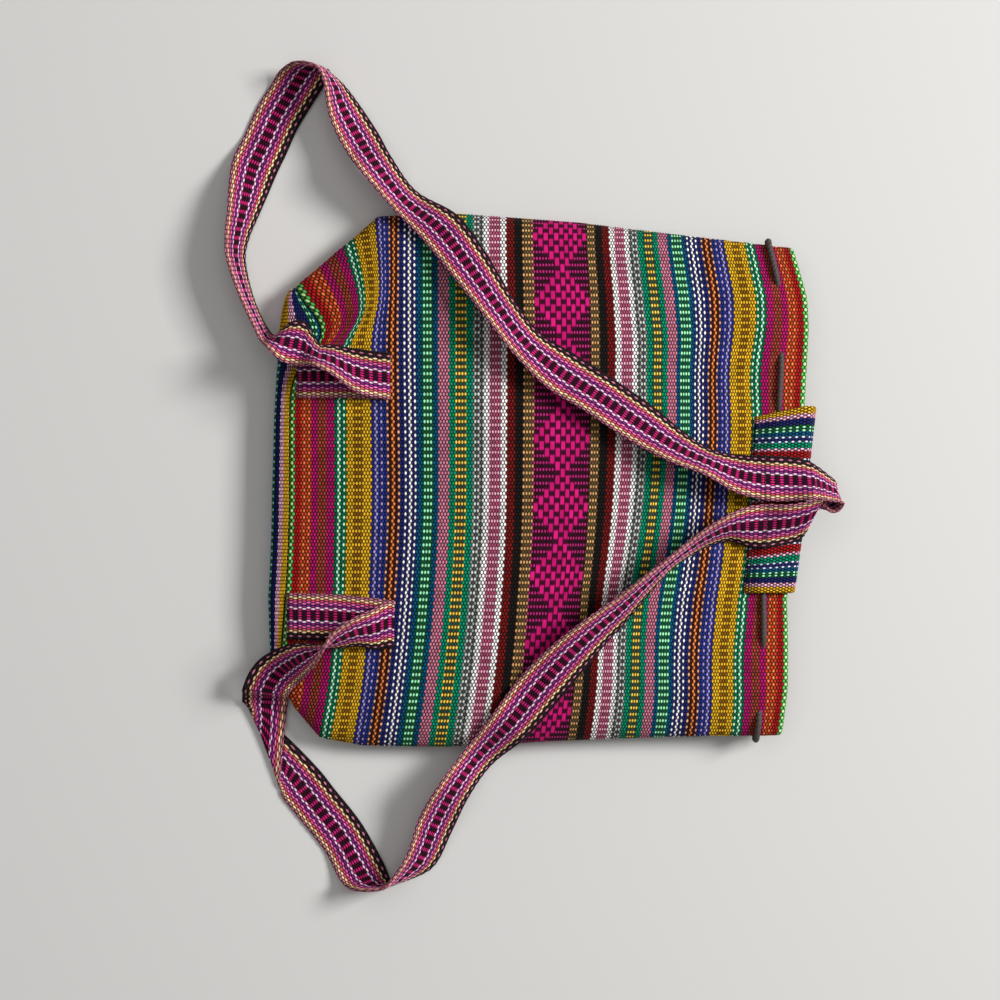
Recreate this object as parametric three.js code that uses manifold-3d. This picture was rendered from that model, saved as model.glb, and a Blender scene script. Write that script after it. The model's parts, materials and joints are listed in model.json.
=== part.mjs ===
// A woven drawstring backpack, lying on its front with the strap side up.
// X runs from the base to the mouth, Y across the bag, Z up from the surface that it lies on.
// The origin is on that surface, under the middle of the bag. All sizes are in millimetres.
import * as THREE from 'three';
import { mergeVertices } from 'three/addons/utils/BufferGeometryUtils.js';
import Module from 'manifold-3d';

const wasm = await Module();
wasm.setup();

// Driving sizes of the cloth body
const CLEARANCE = 0.3;
const BAG_LENGTH = 325;
const BAG_WIDTH = 344;
const CLOTH_THICKNESS = 2;
const BASE_HEIGHT = 26;
const MIDDLE_HEIGHT = 40;
const MOUTH_OPENING = 14;
const SIDE_SEAM_HEIGHT = 14;
const CROWN_AT = 0.45;
const FLAT_SHARE = 0.8;
const FRONT_SAG = 0.25;
const FRONT_RISE_RUN = 48;
const SKEW = 14;

// How far each long edge lies inside the flat width, by distance from the base seam
const UPPER_EDGE_INSET = [[0, 47], [25, 24], [54, 2], [105, 0], [186, 6], [258, 15], [325, 23]];
const LOWER_EDGE_INSET = [[0, 44], [14, 24], [32, 6], [60, 1], [112, 0], [186, 4], [258, 7], [325, 8]];

// How far the rim lies towards the mouth, by place across the bag
const RIM_SHIFT = [[-161, 3], [-134, 2], [-76, -4.6], [0, 0], [47, 4], [98, 7], [117, 6], [150, -2.5]];

// The boxed upper corner of the base stands up like an ear and pushes the stripes aside. Its peak moves
// up and spreads with the distance from the base seam.
const EAR_Y = 95;
const EAR_LEAN = 0.5;
const EAR_HALF_LENGTH = 22;
const EAR_SPREAD = 0.6;
const EAR_SHIFT = 20;
const EAR_RISE = 5;
const EAR_START = 10;
const EAR_REACH = 75;

// Woven bands from the middle of the cloth outwards, each standing a little proud of the next groove
const BAND_WIDTHS = [18, 17, 14, 7, 15, 7, 13, 12, 8, 10, 15, 7, 19];
const GROOVE_DEPTH = 0.5;

// How far the base panel stands out from the seam, by place across the bag
const BASE_BULGE = [[-128, 6], [-109, 8], [-77, 11.7], [-12, 12], [41, 10.5], [77, 8.5], [125, 6]];

// Flap, strap and drawstring. The flap is sewn on a little askew.
const FLAP_THICKNESS = 2.4;
const FLAP_UPPER_Y = 47;
const FLAP_LOWER_Y = -72;
const FLAP_SEAM_DROP = 7;
const FLAP_SEAM_FROM_RIM = 32;
const FLAP_OVERHANG = 9;
const FLAP_SLANT = 3.5;
const FLAP_UNDER_LENGTH = 92;
const FLAP_MARGIN = 4;
const STRAP_WIDTH = 30;
const STRAP_THICKNESS = 2;
const STRAP_RIB = 0.4;
const STRAP_LAYER_GAP = 0.8;
const CORD_DIAMETER = 4;
const CORD_FROM_RIM = 16;
const CORD_SLACK = 0.8;
const CORD_TAIL_Y = 6;
const CORD_TAIL_LENGTH = 52;
const KNOT_DIAMETER = 8.6;

// Where the drawstring goes through the cloth, from the upper side down, on the back and on the front
const BACK_SLITS = [125, 81, 44, 6, -31, -69, -107, -148];
const FRONT_SLITS = [-125, -85, -48, -14, 14, 48, 85, 125];
const SLIT_RUN = 7;

// Strap route from the upper base seam to the lower one. Each station gives X in hundredths of the bag's
// length, Y in hundredths of its width, the direction in plan towards the black edge, the roll of that edge
// about the strap (negative is down), the layers of strap below, a free lift in hundredths of the strap's
// width, and the ruling's length in strap widths where it isn't 1.
const STRAP_ROUTE = [
  [-48.6, 19.5, 90, 0, 0, 0], [-39.1, 19.5, 90, 0, 0, 0], [-31.1, 19.2, 90, 0, 0, 0],
  [-29.8, 19.2, 90, 0, 0.5, 0], [-31.1, 19.2, 90, 0, 1, 0], [-36.6, 20.1, 92, -18, 1, 0],
  [-41.2, 22.1, 92, -48, 1, 0], [-44.3, 23, 85, -58, 1, 3.3], [-47.1, 25, 82, -15, 0, 26.7],
  [-50.2, 25.6, 76, -25, 0, 26.7], [-52.6, 25.9, 60, -62, 0, 10], [-54.8, 26.7, 42, -76, 0, 0],
  [-56.9, 30.2, 33, -80, 0, 0], [-59.1, 35.2, 24, -78, 0, 0], [-60.9, 41.6, 12, -72, 0, 0],
  [-60.6, 45.9, 4, -64, 0, 0], [-59.7, 49.4, -3, -55, 0, 0], [-58.5, 54.7, -12, -36, 0, 0],
  [-57.5, 59, -20, -12, 0, 0], [-55.4, 63.4, -24, 0, 0, 0], [-52.9, 68.6, -28, 0, 0, 0],
  [-50.2, 72.7, -25, 0, 0, 3.3], [-48, 75.7, -18, -12, 0, 6.7], [-45.8, 77.6, -6, -45, 0, 3.3],
  [-43.7, 76.9, 6, -78, 0, 0], [-41.5, 74.1, 18, -68, 0, 0], [-39.4, 69.2, 31, -45, 0, 10],
  [-36, 63.4, 31, -35, 0, 26.7], [-32.9, 58.7, 33, -42, 0, 46.7], [-27.4, 52.3, 46, -48, 0, 20],
  [-20.3, 46.8, 42, -22, 0, 6.7], [-15.1, 40.4, 37, -25, 0, 3.3], [-8.6, 31.4, 37, -42, 0, 0],
  [-3.4, 25, 43, -42, 0, 0], [3.1, 20.1, 54, -20, 0, 0], [10.5, 15.7, 55, -22, 0, 0],
  [19.1, 10.2, 56, -25, 0, 0], [26.2, 5.8, 60, -44, 0, 0], [32, 3.2, 64, -54, 0, 0],
  [37.8, 1.2, 74, -35, 0, 0], [43.1, 0.3, 88, -18, 0, 0], [48, 0.1, 90, -20, 0, 0],
  [51.4, -0.1, 90, -33, 0, 0], [53.8, -0.7, 88, -46, 0, 100], [56, -1.6, 86, -56, 0, 73.3],
  [57.5, -2.3, 80, -65, 0, 53.3], [58, -3.8, 125, -78, 0, 36.7], [56.6, -4.9, 112, -74, 0, 26.7],
  [54.5, -5.1, 160, -78, 0, 30], [53.1, -5.8, -118, -52, 0, 56.7], [51.5, -7, -105, -36, 0, 0],
  [49.5, -7.8, -95, -33, 0, 0], [46.5, -8.3, -93, -30, 0, 0], [42.8, -8.6, -92, -18, 0, 0],
  [39.1, -8.7, -86, -33, 0, 0], [35.7, -9, -72, -56, 0, 0], [30.8, -11, -58, -68, 0, 0],
  [24.6, -15.1, -50, -74, 0, 0], [19.1, -19.8, -49, -66, 0, 0], [14.8, -23.8, -46, -55, 0, 0],
  [9.5, -28.2, -43, -42, 0, 0], [4, -33.4, -41, -25, 0, 0], [-1.2, -39, -38, -12, 0, 0],
  [-6.5, -45.3, -40, -24, 0, 3.3], [-12.6, -51.5, -43, -46, 0, 20], [-17.5, -57.6, -33, -44, 0, 46.7],
  [-21.2, -64.2, -27, -38, 0, 23.3], [-24.3, -71.2, -30, -48, 0, 3.3], [-28.3, -74.7, -18, -68, 0, 0],
  [-31.1, -76, -5, -80, 0, 0], [-33.8, -75.9, 10, -42, 0, 3.3], [-36, -73.8, 25, -10, 0, 3.3],
  [-40, -67.2, 38, 0, 0, 0], [-45.2, -61, 39, 0, 0, 0], [-48.6, -57, 42, 0, 0, 0],
  [-52, -53.2, 86, 0, 0, 0, 1.2], [-55.4, -50, 111, 0, 0.5, 0, 1.75], [-55.4, -45.6, 134, 0, 1, 0, 1.15],
  [-55.4, -41.6, 178, 0, 1, 0], [-54.2, -38.1, 162, -4, 1, 3.3], [-52, -35.5, 146, -14, 0, 13.3],
  [-47.4, -32.8, 125, -45, 0, 16.7], [-43.7, -31.4, 122, -78, 0, 6.7], [-40.6, -29.7, -62, -70, 0, 6.7],
  [-36.9, -28.2, -74, -52, 1, 0], [-33.2, -27.6, -86, -28, 1, 0], [-30.5, -26.7, -90, -4, 1, 0],
  [-28.9, -26.7, -90, 0, 0.5, 0], [-30.5, -26.5, -90, 0, 0, 0], [-40, -25.6, -90, 0, 0, 0],
  [-50.5, -25.3, -90, 0, 0, 0],
];

// Added to each stretch of the route when it is timed, so that the shortest ones in a fold stay smooth
const FOLD_EASE = 1;

// How finely the solids are faceted
const AROUND = 40;
const INNER_ROWS = 14;
const BASE_TURNS = 14;
const FLAP_COLUMNS = 20;
const FLAP_TOP_ROWS = 6;
const FLAP_TURN_ROWS = 8;
const FLAP_UNDER_ROWS = 2;
const STRAP_STEP = 10;
const CORD_SIDES = 6;
const CORD_STEP = 5;
const CORD_TURN = Math.PI / 64;
const PLACE_ROUNDS = 8;

// Sizes that follow from the ones above
const BASE_X = -BAG_LENGTH / 2;
const CORD_RADIUS = CORD_DIAMETER / 2;
const FRONT_LIFT = FLAP_THICKNESS + KNOT_DIAMETER + 2 * CLEARANCE + CORD_SLACK;
const MOUTH_HEIGHT = FRONT_LIFT + 2 * CLOTH_THICKNESS + MOUTH_OPENING;
const FLAP_LIFT = CORD_DIAMETER + 2 * CLEARANCE;
const LIFT_END = BAG_LENGTH - FLAP_UNDER_LENGTH;
const LIFT_START = LIFT_END - FRONT_RISE_RUN;

// Small helpers
const { clamp, degToRad, smoothstep, lerp } = THREE.MathUtils;

function alongList(points, at) {
  const last = points.length - 1;
  if (at <= points[0][0]) return points[0][1];
  if (at >= points[last][0]) return points[last][1];
  const i = points.findIndex((p) => p[0] >= at);
  const share = (at - points[i - 1][0]) / (points[i][0] - points[i - 1][0]);
  return lerp(points[i - 1][1], points[i][1], share);
}

const bell = (offset, halfLength) => Math.exp(-((offset / halfLength) ** 2));

// The bag's form. A point of the body is given by its distance from the base seam and by how far across
// the width it lies, from -1 at the lower side seam to 1 at the upper one.
function halfWidths(along) {
  return {
    upper: BAG_WIDTH / 2 - alongList(UPPER_EDGE_INSET, along),
    lower: -(BAG_WIDTH / 2 - alongList(LOWER_EDGE_INSET, along)),
  };
}

function crownHeight(along) {
  const middle = BAG_LENGTH * CROWN_AT;
  const share = clamp(along, 0, BAG_LENGTH);
  if (share < middle) return lerp(BASE_HEIGHT, MIDDLE_HEIGHT, Math.sin((Math.PI / 2) * (share / middle)));
  const past = (share - middle) / (BAG_LENGTH - middle);
  return lerp(MOUTH_HEIGHT, MIDDLE_HEIGHT, Math.cos((Math.PI / 2) * past));
}

function frontHeight(along, across) {
  return FRONT_LIFT * smoothstep(along, LIFT_START, LIFT_END) * (1 - FRONT_SAG * across ** 2);
}

function sideHeight(along, across) {
  return lerp(SIDE_SEAM_HEIGHT, (MOUTH_HEIGHT + frontHeight(BAG_LENGTH, across)) / 2,
    smoothstep(along, LIFT_START, BAG_LENGTH));
}

function stripeShift(along, y) {
  const skew = y < 0 ? -SKEW * (y / (BAG_WIDTH / 2)) ** 2 : 0;
  const rim = alongList(RIM_SHIFT, y) * clamp(along / BAG_LENGTH, 0, 1) ** 3;
  return skew + earShift(along, y) + rim;
}

const fromEar = (along, y) => y - EAR_Y - EAR_LEAN * Math.max(0, along);

function earShift(along, y) {
  const above = fromEar(along, y);
  const halfLength = EAR_HALF_LENGTH + (above > 0 ? EAR_SPREAD * Math.max(0, along) : 0);
  return EAR_SHIFT * bell(above, halfLength) * (1 - smoothstep(along, EAR_START, EAR_REACH));
}

function earRise(along, y) {
  const onPeak = bell(fromEar(along, y), 1.5 * EAR_HALF_LENGTH);
  return EAR_RISE * onPeak * bell(along - EAR_REACH / 3, EAR_REACH / 2);
}

const backDome = (across) => Math.sqrt(Math.max(0, 1 - Math.abs(across) ** 4));

function frontDome(across) {
  const past = Math.max(0, Math.abs(across) - FLAT_SHARE) / (1 - FLAT_SHARE);
  return Math.sqrt(Math.max(0, 1 - past ** 2));
}

function bodyPoint(along, across, onBack, inset) {
  const { upper, lower } = halfWidths(along);
  const flatY = lerp(lower, upper, (across + 1) / 2);
  const y = flatY - inset * across;
  const side = sideHeight(along, across);
  const rise = crownHeight(along) + earRise(along, flatY) - inset - side;
  const fall = side - frontHeight(along, across) - inset;
  const z = onBack ? side + rise * backDome(across) : side - fall * frontDome(across);
  return new THREE.Vector3(BASE_X + along + stripeShift(along, flatY), y, z);
}

// Height of the cloth above a point in plan, and whether the point is over the bag at all
function placeOnBag(x, y) {
  let along = x - BASE_X;
  for (let k = 0; k < PLACE_ROUNDS; k++) along = x - BASE_X - stripeShift(along, y);
  const { upper, lower } = halfWidths(Math.max(0, along));
  return { along, across: (2 * (y - lower)) / (upper - lower) - 1 };
}

function backHeight(x, y) {
  const { along, across } = placeOnBag(x, y);
  if (Math.abs(across) >= 1 || along > BAG_LENGTH) return 0;
  if (along >= 0) return bodyPoint(along, across, true, 0).z;
  const depth = -along / baseBulge(across);
  if (depth >= 1) return 0;
  const top = bodyPoint(0, across, true, 0).z;
  return top / 2 + (top / 2) * (1 - depth ** 3) ** (1 / 3);
}

const rimX = (y) => BASE_X + BAG_LENGTH + stripeShift(BAG_LENGTH, y);

const flapSlant = (y) => (FLAP_SLANT * (FLAP_UPPER_Y - y)) / (FLAP_UPPER_Y - FLAP_LOWER_Y);

const flapSeamX = (y) => rimX(y) - FLAP_SEAM_FROM_RIM + flapSlant(y);

function flapHeight(x, y) {
  const start = flapSeamX(y) - FLAP_MARGIN;
  const end = rimX(y) + FLAP_OVERHANG - flapSlant(y);
  if (y > FLAP_UPPER_Y + FLAP_MARGIN || y < FLAP_LOWER_Y - FLAP_MARGIN || x < start || x > end) return 0;
  return flapRise(Math.min(x, rimX(y)), y) + FLAP_THICKNESS;
}

function flapRise(x, y) {
  const start = flapSeamX(y);
  const lift = FLAP_LIFT * smoothstep(x, start, rimX(y) - CORD_FROM_RIM - CORD_RADIUS);
  return backHeight(Math.min(x, rimX(y) - CLEARANCE), y) + CLEARANCE + lift;
}

const ground = (x, y) => Math.max(backHeight(x, y), flapHeight(x, y));

// A closed shell between an outer and an inner grid of points. Rows run along, columns across.
// A wrapped grid closes on itself across the columns.
function shell(outer, inner, wrapped) {
  const positions = [];
  const triangle = (a, b, c) => positions.push(...a, ...b, ...c);
  const quad = (a, b, c, d) => {
    triangle(a, b, c);
    triangle(a, c, d);
  };
  const skin = (grid, flip) => {
    for (let r = 0; r + 1 < grid.length; r++) {
      const columns = grid[r].length;
      for (let c = 0; c < (wrapped ? columns : columns - 1); c++) {
        const next = (c + 1) % columns;
        const corners = [grid[r][c], grid[r + 1][c], grid[r + 1][next], grid[r][next]];
        quad(...(flip ? corners.reverse() : corners));
      }
    }
  };
  const edge = (outerLine, innerLine, flip) => {
    const count = outerLine.length;
    for (let i = 0; i < (wrapped ? count : count - 1); i++) {
      const next = (i + 1) % count;
      const corners = [outerLine[i], outerLine[next], innerLine[next], innerLine[i]];
      quad(...(flip ? corners.reverse() : corners));
    }
  };
  skin(outer, false);
  skin(inner, true);
  edge(outer[0], inner[0], false);
  edge(outer.at(-1), inner.at(-1), true);
  if (!wrapped) {
    edge(outer.map((row) => row[0]), inner.map((row) => row[0]), true);
    edge(outer.map((row) => row.at(-1)), inner.map((row) => row.at(-1)), false);
  }
  return closedGeometry(positions);
}

function closedGeometry(positions) {
  const loose = new THREE.BufferGeometry();
  loose.setAttribute('position', new THREE.Float32BufferAttribute(positions, 3));
  const merged = mergeVertices(loose, 1e-3);
  const index = [];
  for (let i = 0; i < merged.index.count; i += 3) {
    const [a, b, c] = [0, 1, 2].map((k) => merged.index.getX(i + k));
    if (a !== b && b !== c && a !== c) index.push(a, b, c);
  }
  merged.setIndex(index);
  return merged;
}

function toSolid(geometry) {
  const bare = geometry.clone();
  bare.deleteAttribute('normal');
  bare.deleteAttribute('uv');
  const merged = mergeVertices(bare, 1e-4);
  return new wasm.Manifold(new wasm.Mesh({
    numProp: 3,
    vertProperties: new Float32Array(merged.attributes.position.array),
    triVerts: new Uint32Array(merged.index.array),
  }));
}

function toGeometry(solid) {
  const mesh = solid.getMesh();
  const geometry = new THREE.BufferGeometry();
  geometry.setAttribute('position', new THREE.BufferAttribute(new Float32Array(mesh.vertProperties), 3));
  geometry.setIndex(new THREE.BufferAttribute(new Uint32Array(mesh.triVerts), 1));
  return geometry;
}

// Body panel: one striped cloth sewn into a tube, open at the mouth and at the base
function bandRows() {
  const total = BAND_WIDTHS.reduce((sum, width) => sum + width, 0);
  const rows = [];
  let edge = 0;
  for (const width of BAND_WIDTHS) {
    rows.push([edge, GROOVE_DEPTH], [edge + width / 2, 0]);
    edge += width;
  }
  const outward = rows.slice(1).map(([at, depth]) => [at / total, depth]);
  const bothWays = [...outward.map(([at, depth]) => [-at, depth]).reverse(), [0, 0], ...outward];
  const inner = bothWays.map(([at, depth]) => [((at + 1) / 2) * BAG_LENGTH, depth]);
  return [[0, 0], ...inner, [BAG_LENGTH, 0]];
}

function bodyLoop(along, insetAt) {
  return Array.from({ length: AROUND }, (_, k) => {
    const angle = -Math.PI / 2 + (2 * Math.PI * k) / AROUND;
    const onBack = Math.cos(angle) >= -1e-9;
    return bodyPoint(along, clamp(Math.sin(angle), -1, 1), onBack, insetAt(Math.max(0, Math.cos(angle))));
  });
}

function bodyGeometry(cuts) {
  const outer = bandRows().map(([along, depth]) => bodyLoop(along, (up) => depth * Math.min(1, 3 * up)));
  const inner = Array.from({ length: INNER_ROWS + 1 }, (_, r) =>
    bodyLoop((BAG_LENGTH * r) / INNER_ROWS, () => CLOTH_THICKNESS));
  let solid = toSolid(shell(outer, inner, true));
  for (const cut of cuts) solid = solid.subtract(toSolid(cut));
  return toGeometry(solid);
}

// Base panel: a second cloth that closes the tube, rounded outwards from the seam
const baseClose = (across) => Math.sqrt(Math.max(0, 1 - Math.abs(across) ** 16));

function baseBulge(across) {
  const { upper, lower } = halfWidths(0);
  const y = lerp(lower, upper, (across + 1) / 2);
  return (alongList(BASE_BULGE, y) + earShift(0, y)) * baseClose(across);
}

function basePoint(across, turn, inset) {
  const top = bodyPoint(0, across, true, inset);
  const bottom = bodyPoint(0, across, false, inset);
  const middle = (top.z + bottom.z) / 2;
  const half = (top.z - bottom.z) / 2;
  const out = Math.max(0, baseBulge(across) - inset) * Math.sin(turn) ** (2 / 3);
  const rise = half * Math.sign(Math.cos(turn)) * Math.abs(Math.cos(turn)) ** (2 / 3);
  return new THREE.Vector3(lerp(top.x, bottom.x, turn / Math.PI) - CLEARANCE - out, top.y, middle + rise);
}

function baseGeometry() {
  const grid = (inset, ribDepth) => Array.from({ length: AROUND / 2 + 1 }, (_, c) => {
    const across = Math.sin(-Math.PI / 2 + (Math.PI * c) / (AROUND / 2));
    const rib = ribDepth * baseClose(across);
    return Array.from({ length: BASE_TURNS + 1 }, (_, r) =>
      basePoint(across, (Math.PI * r) / BASE_TURNS, inset + (r % 2 && r < BASE_TURNS / 2 ? rib : 0)));
  });
  return shell(grid(0, GROOVE_DEPTH), grid(CLOTH_THICKNESS, 0), false);
}

// Flap: sewn to the back near the rim, over the mouth and under the front
function flapColumn(share, thickness) {
  const y = lerp(FLAP_UPPER_Y, FLAP_LOWER_Y, share);
  const rim = rimX(y);
  const points = [];
  for (let r = 0; r < FLAP_TOP_ROWS; r++) {
    const sewnY = y - FLAP_SEAM_DROP * (1 - share) * (1 - r / FLAP_TOP_ROWS);
    const x = lerp(flapSeamX(sewnY), rimX(sewnY), r / FLAP_TOP_ROWS);
    points.push(new THREE.Vector3(x, sewnY, flapRise(x, sewnY) + thickness));
  }
  const top = flapRise(rim, y);
  const middle = (top + FLAP_THICKNESS) / 2;
  for (let r = 0; r <= FLAP_TURN_ROWS; r++) {
    const turn = Math.PI / 2 - (Math.PI * r) / FLAP_TURN_ROWS;
    const reach = FLAP_OVERHANG - flapSlant(y) - FLAP_THICKNESS + thickness;
    const rise = (top - FLAP_THICKNESS) / 2 + thickness;
    points.push(new THREE.Vector3(rim + reach * Math.cos(turn), y, middle + rise * Math.sin(turn)));
  }
  for (let r = 1; r <= FLAP_UNDER_ROWS; r++) {
    const x = rim - (FLAP_UNDER_LENGTH * r) / FLAP_UNDER_ROWS;
    points.push(new THREE.Vector3(x, y, FLAP_THICKNESS - thickness));
  }
  return points;
}

function flapGeometry() {
  const grid = (thickness, ribDepth) => Array.from({ length: FLAP_COLUMNS + 1 }, (_, c) => {
    return flapColumn(c / FLAP_COLUMNS, thickness - (c % 2 ? ribDepth : 0));
  });
  return shell(grid(FLAP_THICKNESS, GROOVE_DEPTH), grid(0, 0), false);
}

// Shoulder strap: one woven band, ruled between its two edges
function strapHalf(heading, roll, span) {
  const [h, r] = [degToRad(heading), degToRad(roll)];
  const half = (STRAP_WIDTH / 2) * span;
  const direction = new THREE.Vector3(Math.cos(h) * Math.cos(r), Math.sin(h) * Math.cos(r), Math.sin(r));
  return direction.multiplyScalar(half);
}

// The lowest centre height at which a strap with this half-width clears what is under it
function restHeight(x, y, half) {
  const shares = [-1, -0.5, 0, 0.5, 1];
  const heights = shares.map((f) => ground(x + f * half.x, y + f * half.y) - f * half.z);
  return Math.max(...heights) + 2 * CLEARANCE + STRAP_THICKNESS / 2;
}

function strapStations() {
  return STRAP_ROUTE.map(([alongBag, acrossBag, heading, roll, layers, lift, span = 1]) => {
    const [x, y] = [(BAG_LENGTH * alongBag) / 100, (BAG_WIDTH * acrossBag) / 100];
    const half = strapHalf(heading, roll, span);
    const stack = layers * (STRAP_THICKNESS + STRAP_LAYER_GAP);
    const free = (STRAP_WIDTH * lift) / 100;
    const centre = new THREE.Vector3(x, y, restHeight(x, y, half) + stack + free);
    return { centre, half, stack };
  });
}

// A smooth line through unevenly spaced values: each end of a stretch keeps the slope across its neighbours
function throughStations(stations, times, i, share, pick) {
  const value = (k) => pick(stations[clamp(k, 0, stations.length - 1)]);
  const time = (k) => (k < 0 ? times[0] - 1 : k >= times.length ? times.at(-1) + 1 : times[k]);
  const slope = (k) => value(k + 1).clone().sub(value(k - 1)).divideScalar(time(k + 1) - time(k - 1));
  const step = times[i + 1] - times[i];
  const s2 = share * share;
  const s3 = s2 * share;
  return new THREE.Vector3()
    .addScaledVector(value(i), 2 * s3 - 3 * s2 + 1)
    .addScaledVector(slope(i), (s3 - 2 * s2 + share) * step)
    .addScaledVector(value(i + 1), -2 * s3 + 3 * s2)
    .addScaledVector(slope(i + 1), (s3 - s2) * step);
}

function strapSamples() {
  const stations = strapStations();
  const gap = (i) => stations[i + 1].centre.distanceTo(stations[i].centre) + FOLD_EASE;
  const times = [0];
  for (let i = 0; i + 1 < stations.length; i++) times.push(times[i] + Math.sqrt(gap(i)));
  const samples = [];
  for (let i = 0; i + 1 < stations.length; i++) {
    const steps = Math.max(2, Math.round(gap(i) / STRAP_STEP));
    for (let k = 0; k < steps + (i + 2 === stations.length ? 1 : 0); k++) {
      const share = k / steps;
      const centre = throughStations(stations, times, i, share, (s) => s.centre);
      const half = throughStations(stations, times, i, share, (s) => s.half);
      const stack = lerp(stations[i].stack, stations[i + 1].stack, share);
      centre.z = Math.max(centre.z, restHeight(centre.x, centre.y, half) + stack);
      samples.push({ centre, half });
    }
  }
  return samples;
}

function strapGeometry() {
  const samples = strapSamples();
  const ribs = [[-1, -STRAP_RIB], [-0.45, 0], [0, -STRAP_RIB], [0.45, 0], [1, -STRAP_RIB]];
  const face = (side) => samples.map(({ centre, half }, i) => {
    const before = samples[Math.max(0, i - 1)].centre;
    const after = samples[Math.min(samples.length - 1, i + 1)].centre;
    const normal = after.clone().sub(before).cross(half).normalize();
    return ribs.map(([share, rib]) => centre.clone().addScaledVector(half, share)
      .addScaledVector(normal, side * (STRAP_THICKNESS / 2 + rib)));
  });
  return shell(face(1), face(-1), false);
}

// Drawstring: in and out through slits near the rim, with two knotted ends on the front
const CORD_ALONG = BAG_LENGTH - CORD_FROM_RIM;

const acrossOf = (y) => placeOnBag(BASE_X + CORD_ALONG + stripeShift(CORD_ALONG, y), y).across;

// A point of the cloth's middle surface at the cord, with the direction out of the bag
function clothAt(across, onBack) {
  const surface = (share) => bodyPoint(CORD_ALONG, clamp(share, -1, 1), onBack, CLOTH_THICKNESS / 2);
  const step = surface(across + 0.01).sub(surface(across - 0.01));
  const normal = new THREE.Vector3(0, -step.z, step.y).normalize();
  return { at: surface(across), normal: onBack ? normal : normal.negate() };
}

// Outside the cloth is 1 and inside is -1; the cord changes sides at each slit
function cordSide(y, slits) {
  return slits.reduce((side, slit) => side * (1 - 2 * smoothstep(y, slit - SLIT_RUN, slit + SLIT_RUN)), 1);
}

function cordPoint(across, onBack) {
  const { at, normal } = clothAt(across, onBack);
  const side = cordSide(at.y, onBack ? BACK_SLITS : FRONT_SLITS);
  return at.addScaledVector(normal, side * (CLOTH_THICKNESS / 2 + CORD_RADIUS + CORD_SLACK));
}

function cordTail(side) {
  const start = cordPoint(acrossOf(side * CORD_TAIL_Y), false);
  const z = FLAP_THICKNESS + CLEARANCE + CORD_RADIUS;
  const lie = (back, out) => new THREE.Vector3(start.x - back, start.y + side * out, z);
  return [lie(CORD_TAIL_LENGTH, 1), lie(CORD_TAIL_LENGTH / 2, 2), lie(CORD_TAIL_LENGTH / 4, 0)];
}

function cordPoints() {
  const turns = (from, to) => {
    const count = Math.ceil(Math.abs(to - from) / CORD_TURN);
    return Array.from({ length: count + 1 }, (_, k) => Math.sin(lerp(from, to, k / count)));
  };
  const top = Math.asin(acrossOf(CORD_TAIL_Y));
  const bottom = Math.asin(acrossOf(-CORD_TAIL_Y));
  const upperFront = turns(top, Math.PI / 2).slice(0, -1).map((across) => cordPoint(across, false));
  const back = turns(Math.PI / 2, -Math.PI / 2).map((across) => cordPoint(across, true));
  const lowerFront = turns(-Math.PI / 2, bottom).slice(1).map((across) => cordPoint(across, false));
  return [...cordTail(1), ...upperFront, ...back, ...lowerFront, ...cordTail(-1).reverse()];
}

function slitCut(y, onBack) {
  const { at, normal } = clothAt(acrossOf(y), onBack);
  const width = CORD_DIAMETER + 2 * CLEARANCE;
  const depth = CLOTH_THICKNESS + CORD_DIAMETER;
  const box = new THREE.BoxGeometry(width, 2 * SLIT_RUN, depth);
  const turn = Math.atan2(-normal.y, normal.z);
  return box.rotateX(turn).translate(at.x, at.y, at.z);
}

function tube(points, radius) {
  const curve = new THREE.CatmullRomCurve3(points, false, 'centripetal');
  const section = new THREE.Shape(Array.from({ length: CORD_SIDES }, (_, k) => {
    const angle = (2 * Math.PI * k) / CORD_SIDES;
    return new THREE.Vector2(Math.cos(angle) * radius, Math.sin(angle) * radius);
  }));
  const steps = Math.round(curve.getLength() / CORD_STEP);
  return new THREE.ExtrudeGeometry(section, { steps, bevelEnabled: false, extrudePath: curve });
}

function drawstringGeometry() {
  const points = cordPoints();
  let solid = toSolid(tube(points, CORD_RADIUS));
  for (const end of [points[0], points.at(-1)]) {
    const z = FLAP_THICKNESS + CLEARANCE + KNOT_DIAMETER / 2;
    const knot = new THREE.SphereGeometry(KNOT_DIAMETER / 2, 12, 8);
    solid = solid.add(toSolid(knot.translate(end.x - KNOT_DIAMETER / 3, end.y, z)));
  }
  return toGeometry(solid);
}

const slitCuts = [...BACK_SLITS.map((y) => slitCut(y, true)), ...FRONT_SLITS.map((y) => slitCut(y, false))];

// The assembled bag
function piece(name, geometry, colour, roughness) {
  geometry.computeVertexNormals();
  const material = new THREE.MeshStandardMaterial({ color: colour, roughness, metalness: 0 });
  const mesh = new THREE.Mesh(geometry, material);
  mesh.name = name;
  return mesh;
}

const backpack = new THREE.Group();
backpack.name = 'woven_backpack';
backpack.add(piece('body_panel', bodyGeometry(slitCuts), 0xa0305a, 0.9));
backpack.add(piece('base_panel', baseGeometry(), 0x1d3a63, 0.9));
backpack.add(piece('flap', flapGeometry(), 0x1f5f62, 0.9));
backpack.add(piece('shoulder_strap', strapGeometry(), 0xb03a78, 0.85));
backpack.add(piece('drawstring', drawstringGeometry(), 0x322d28, 0.8));

export default backpack;
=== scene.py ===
# %% [markdown]
# # A woven drawstring backpack
# The bag is one striped cloth sewn into a flat tube, a strip of border cloth that closes its bottom, a flap of the
# same border cloth over the mouth, one long woven band that makes both shoulder loops, and a drawstring.
# It lies on its front, strap side up, and is seen from straight above.
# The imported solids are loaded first. They are the fixed frame that every piece below has to match.

# %% Load the frame
import json
import math
from functools import partial

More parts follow.
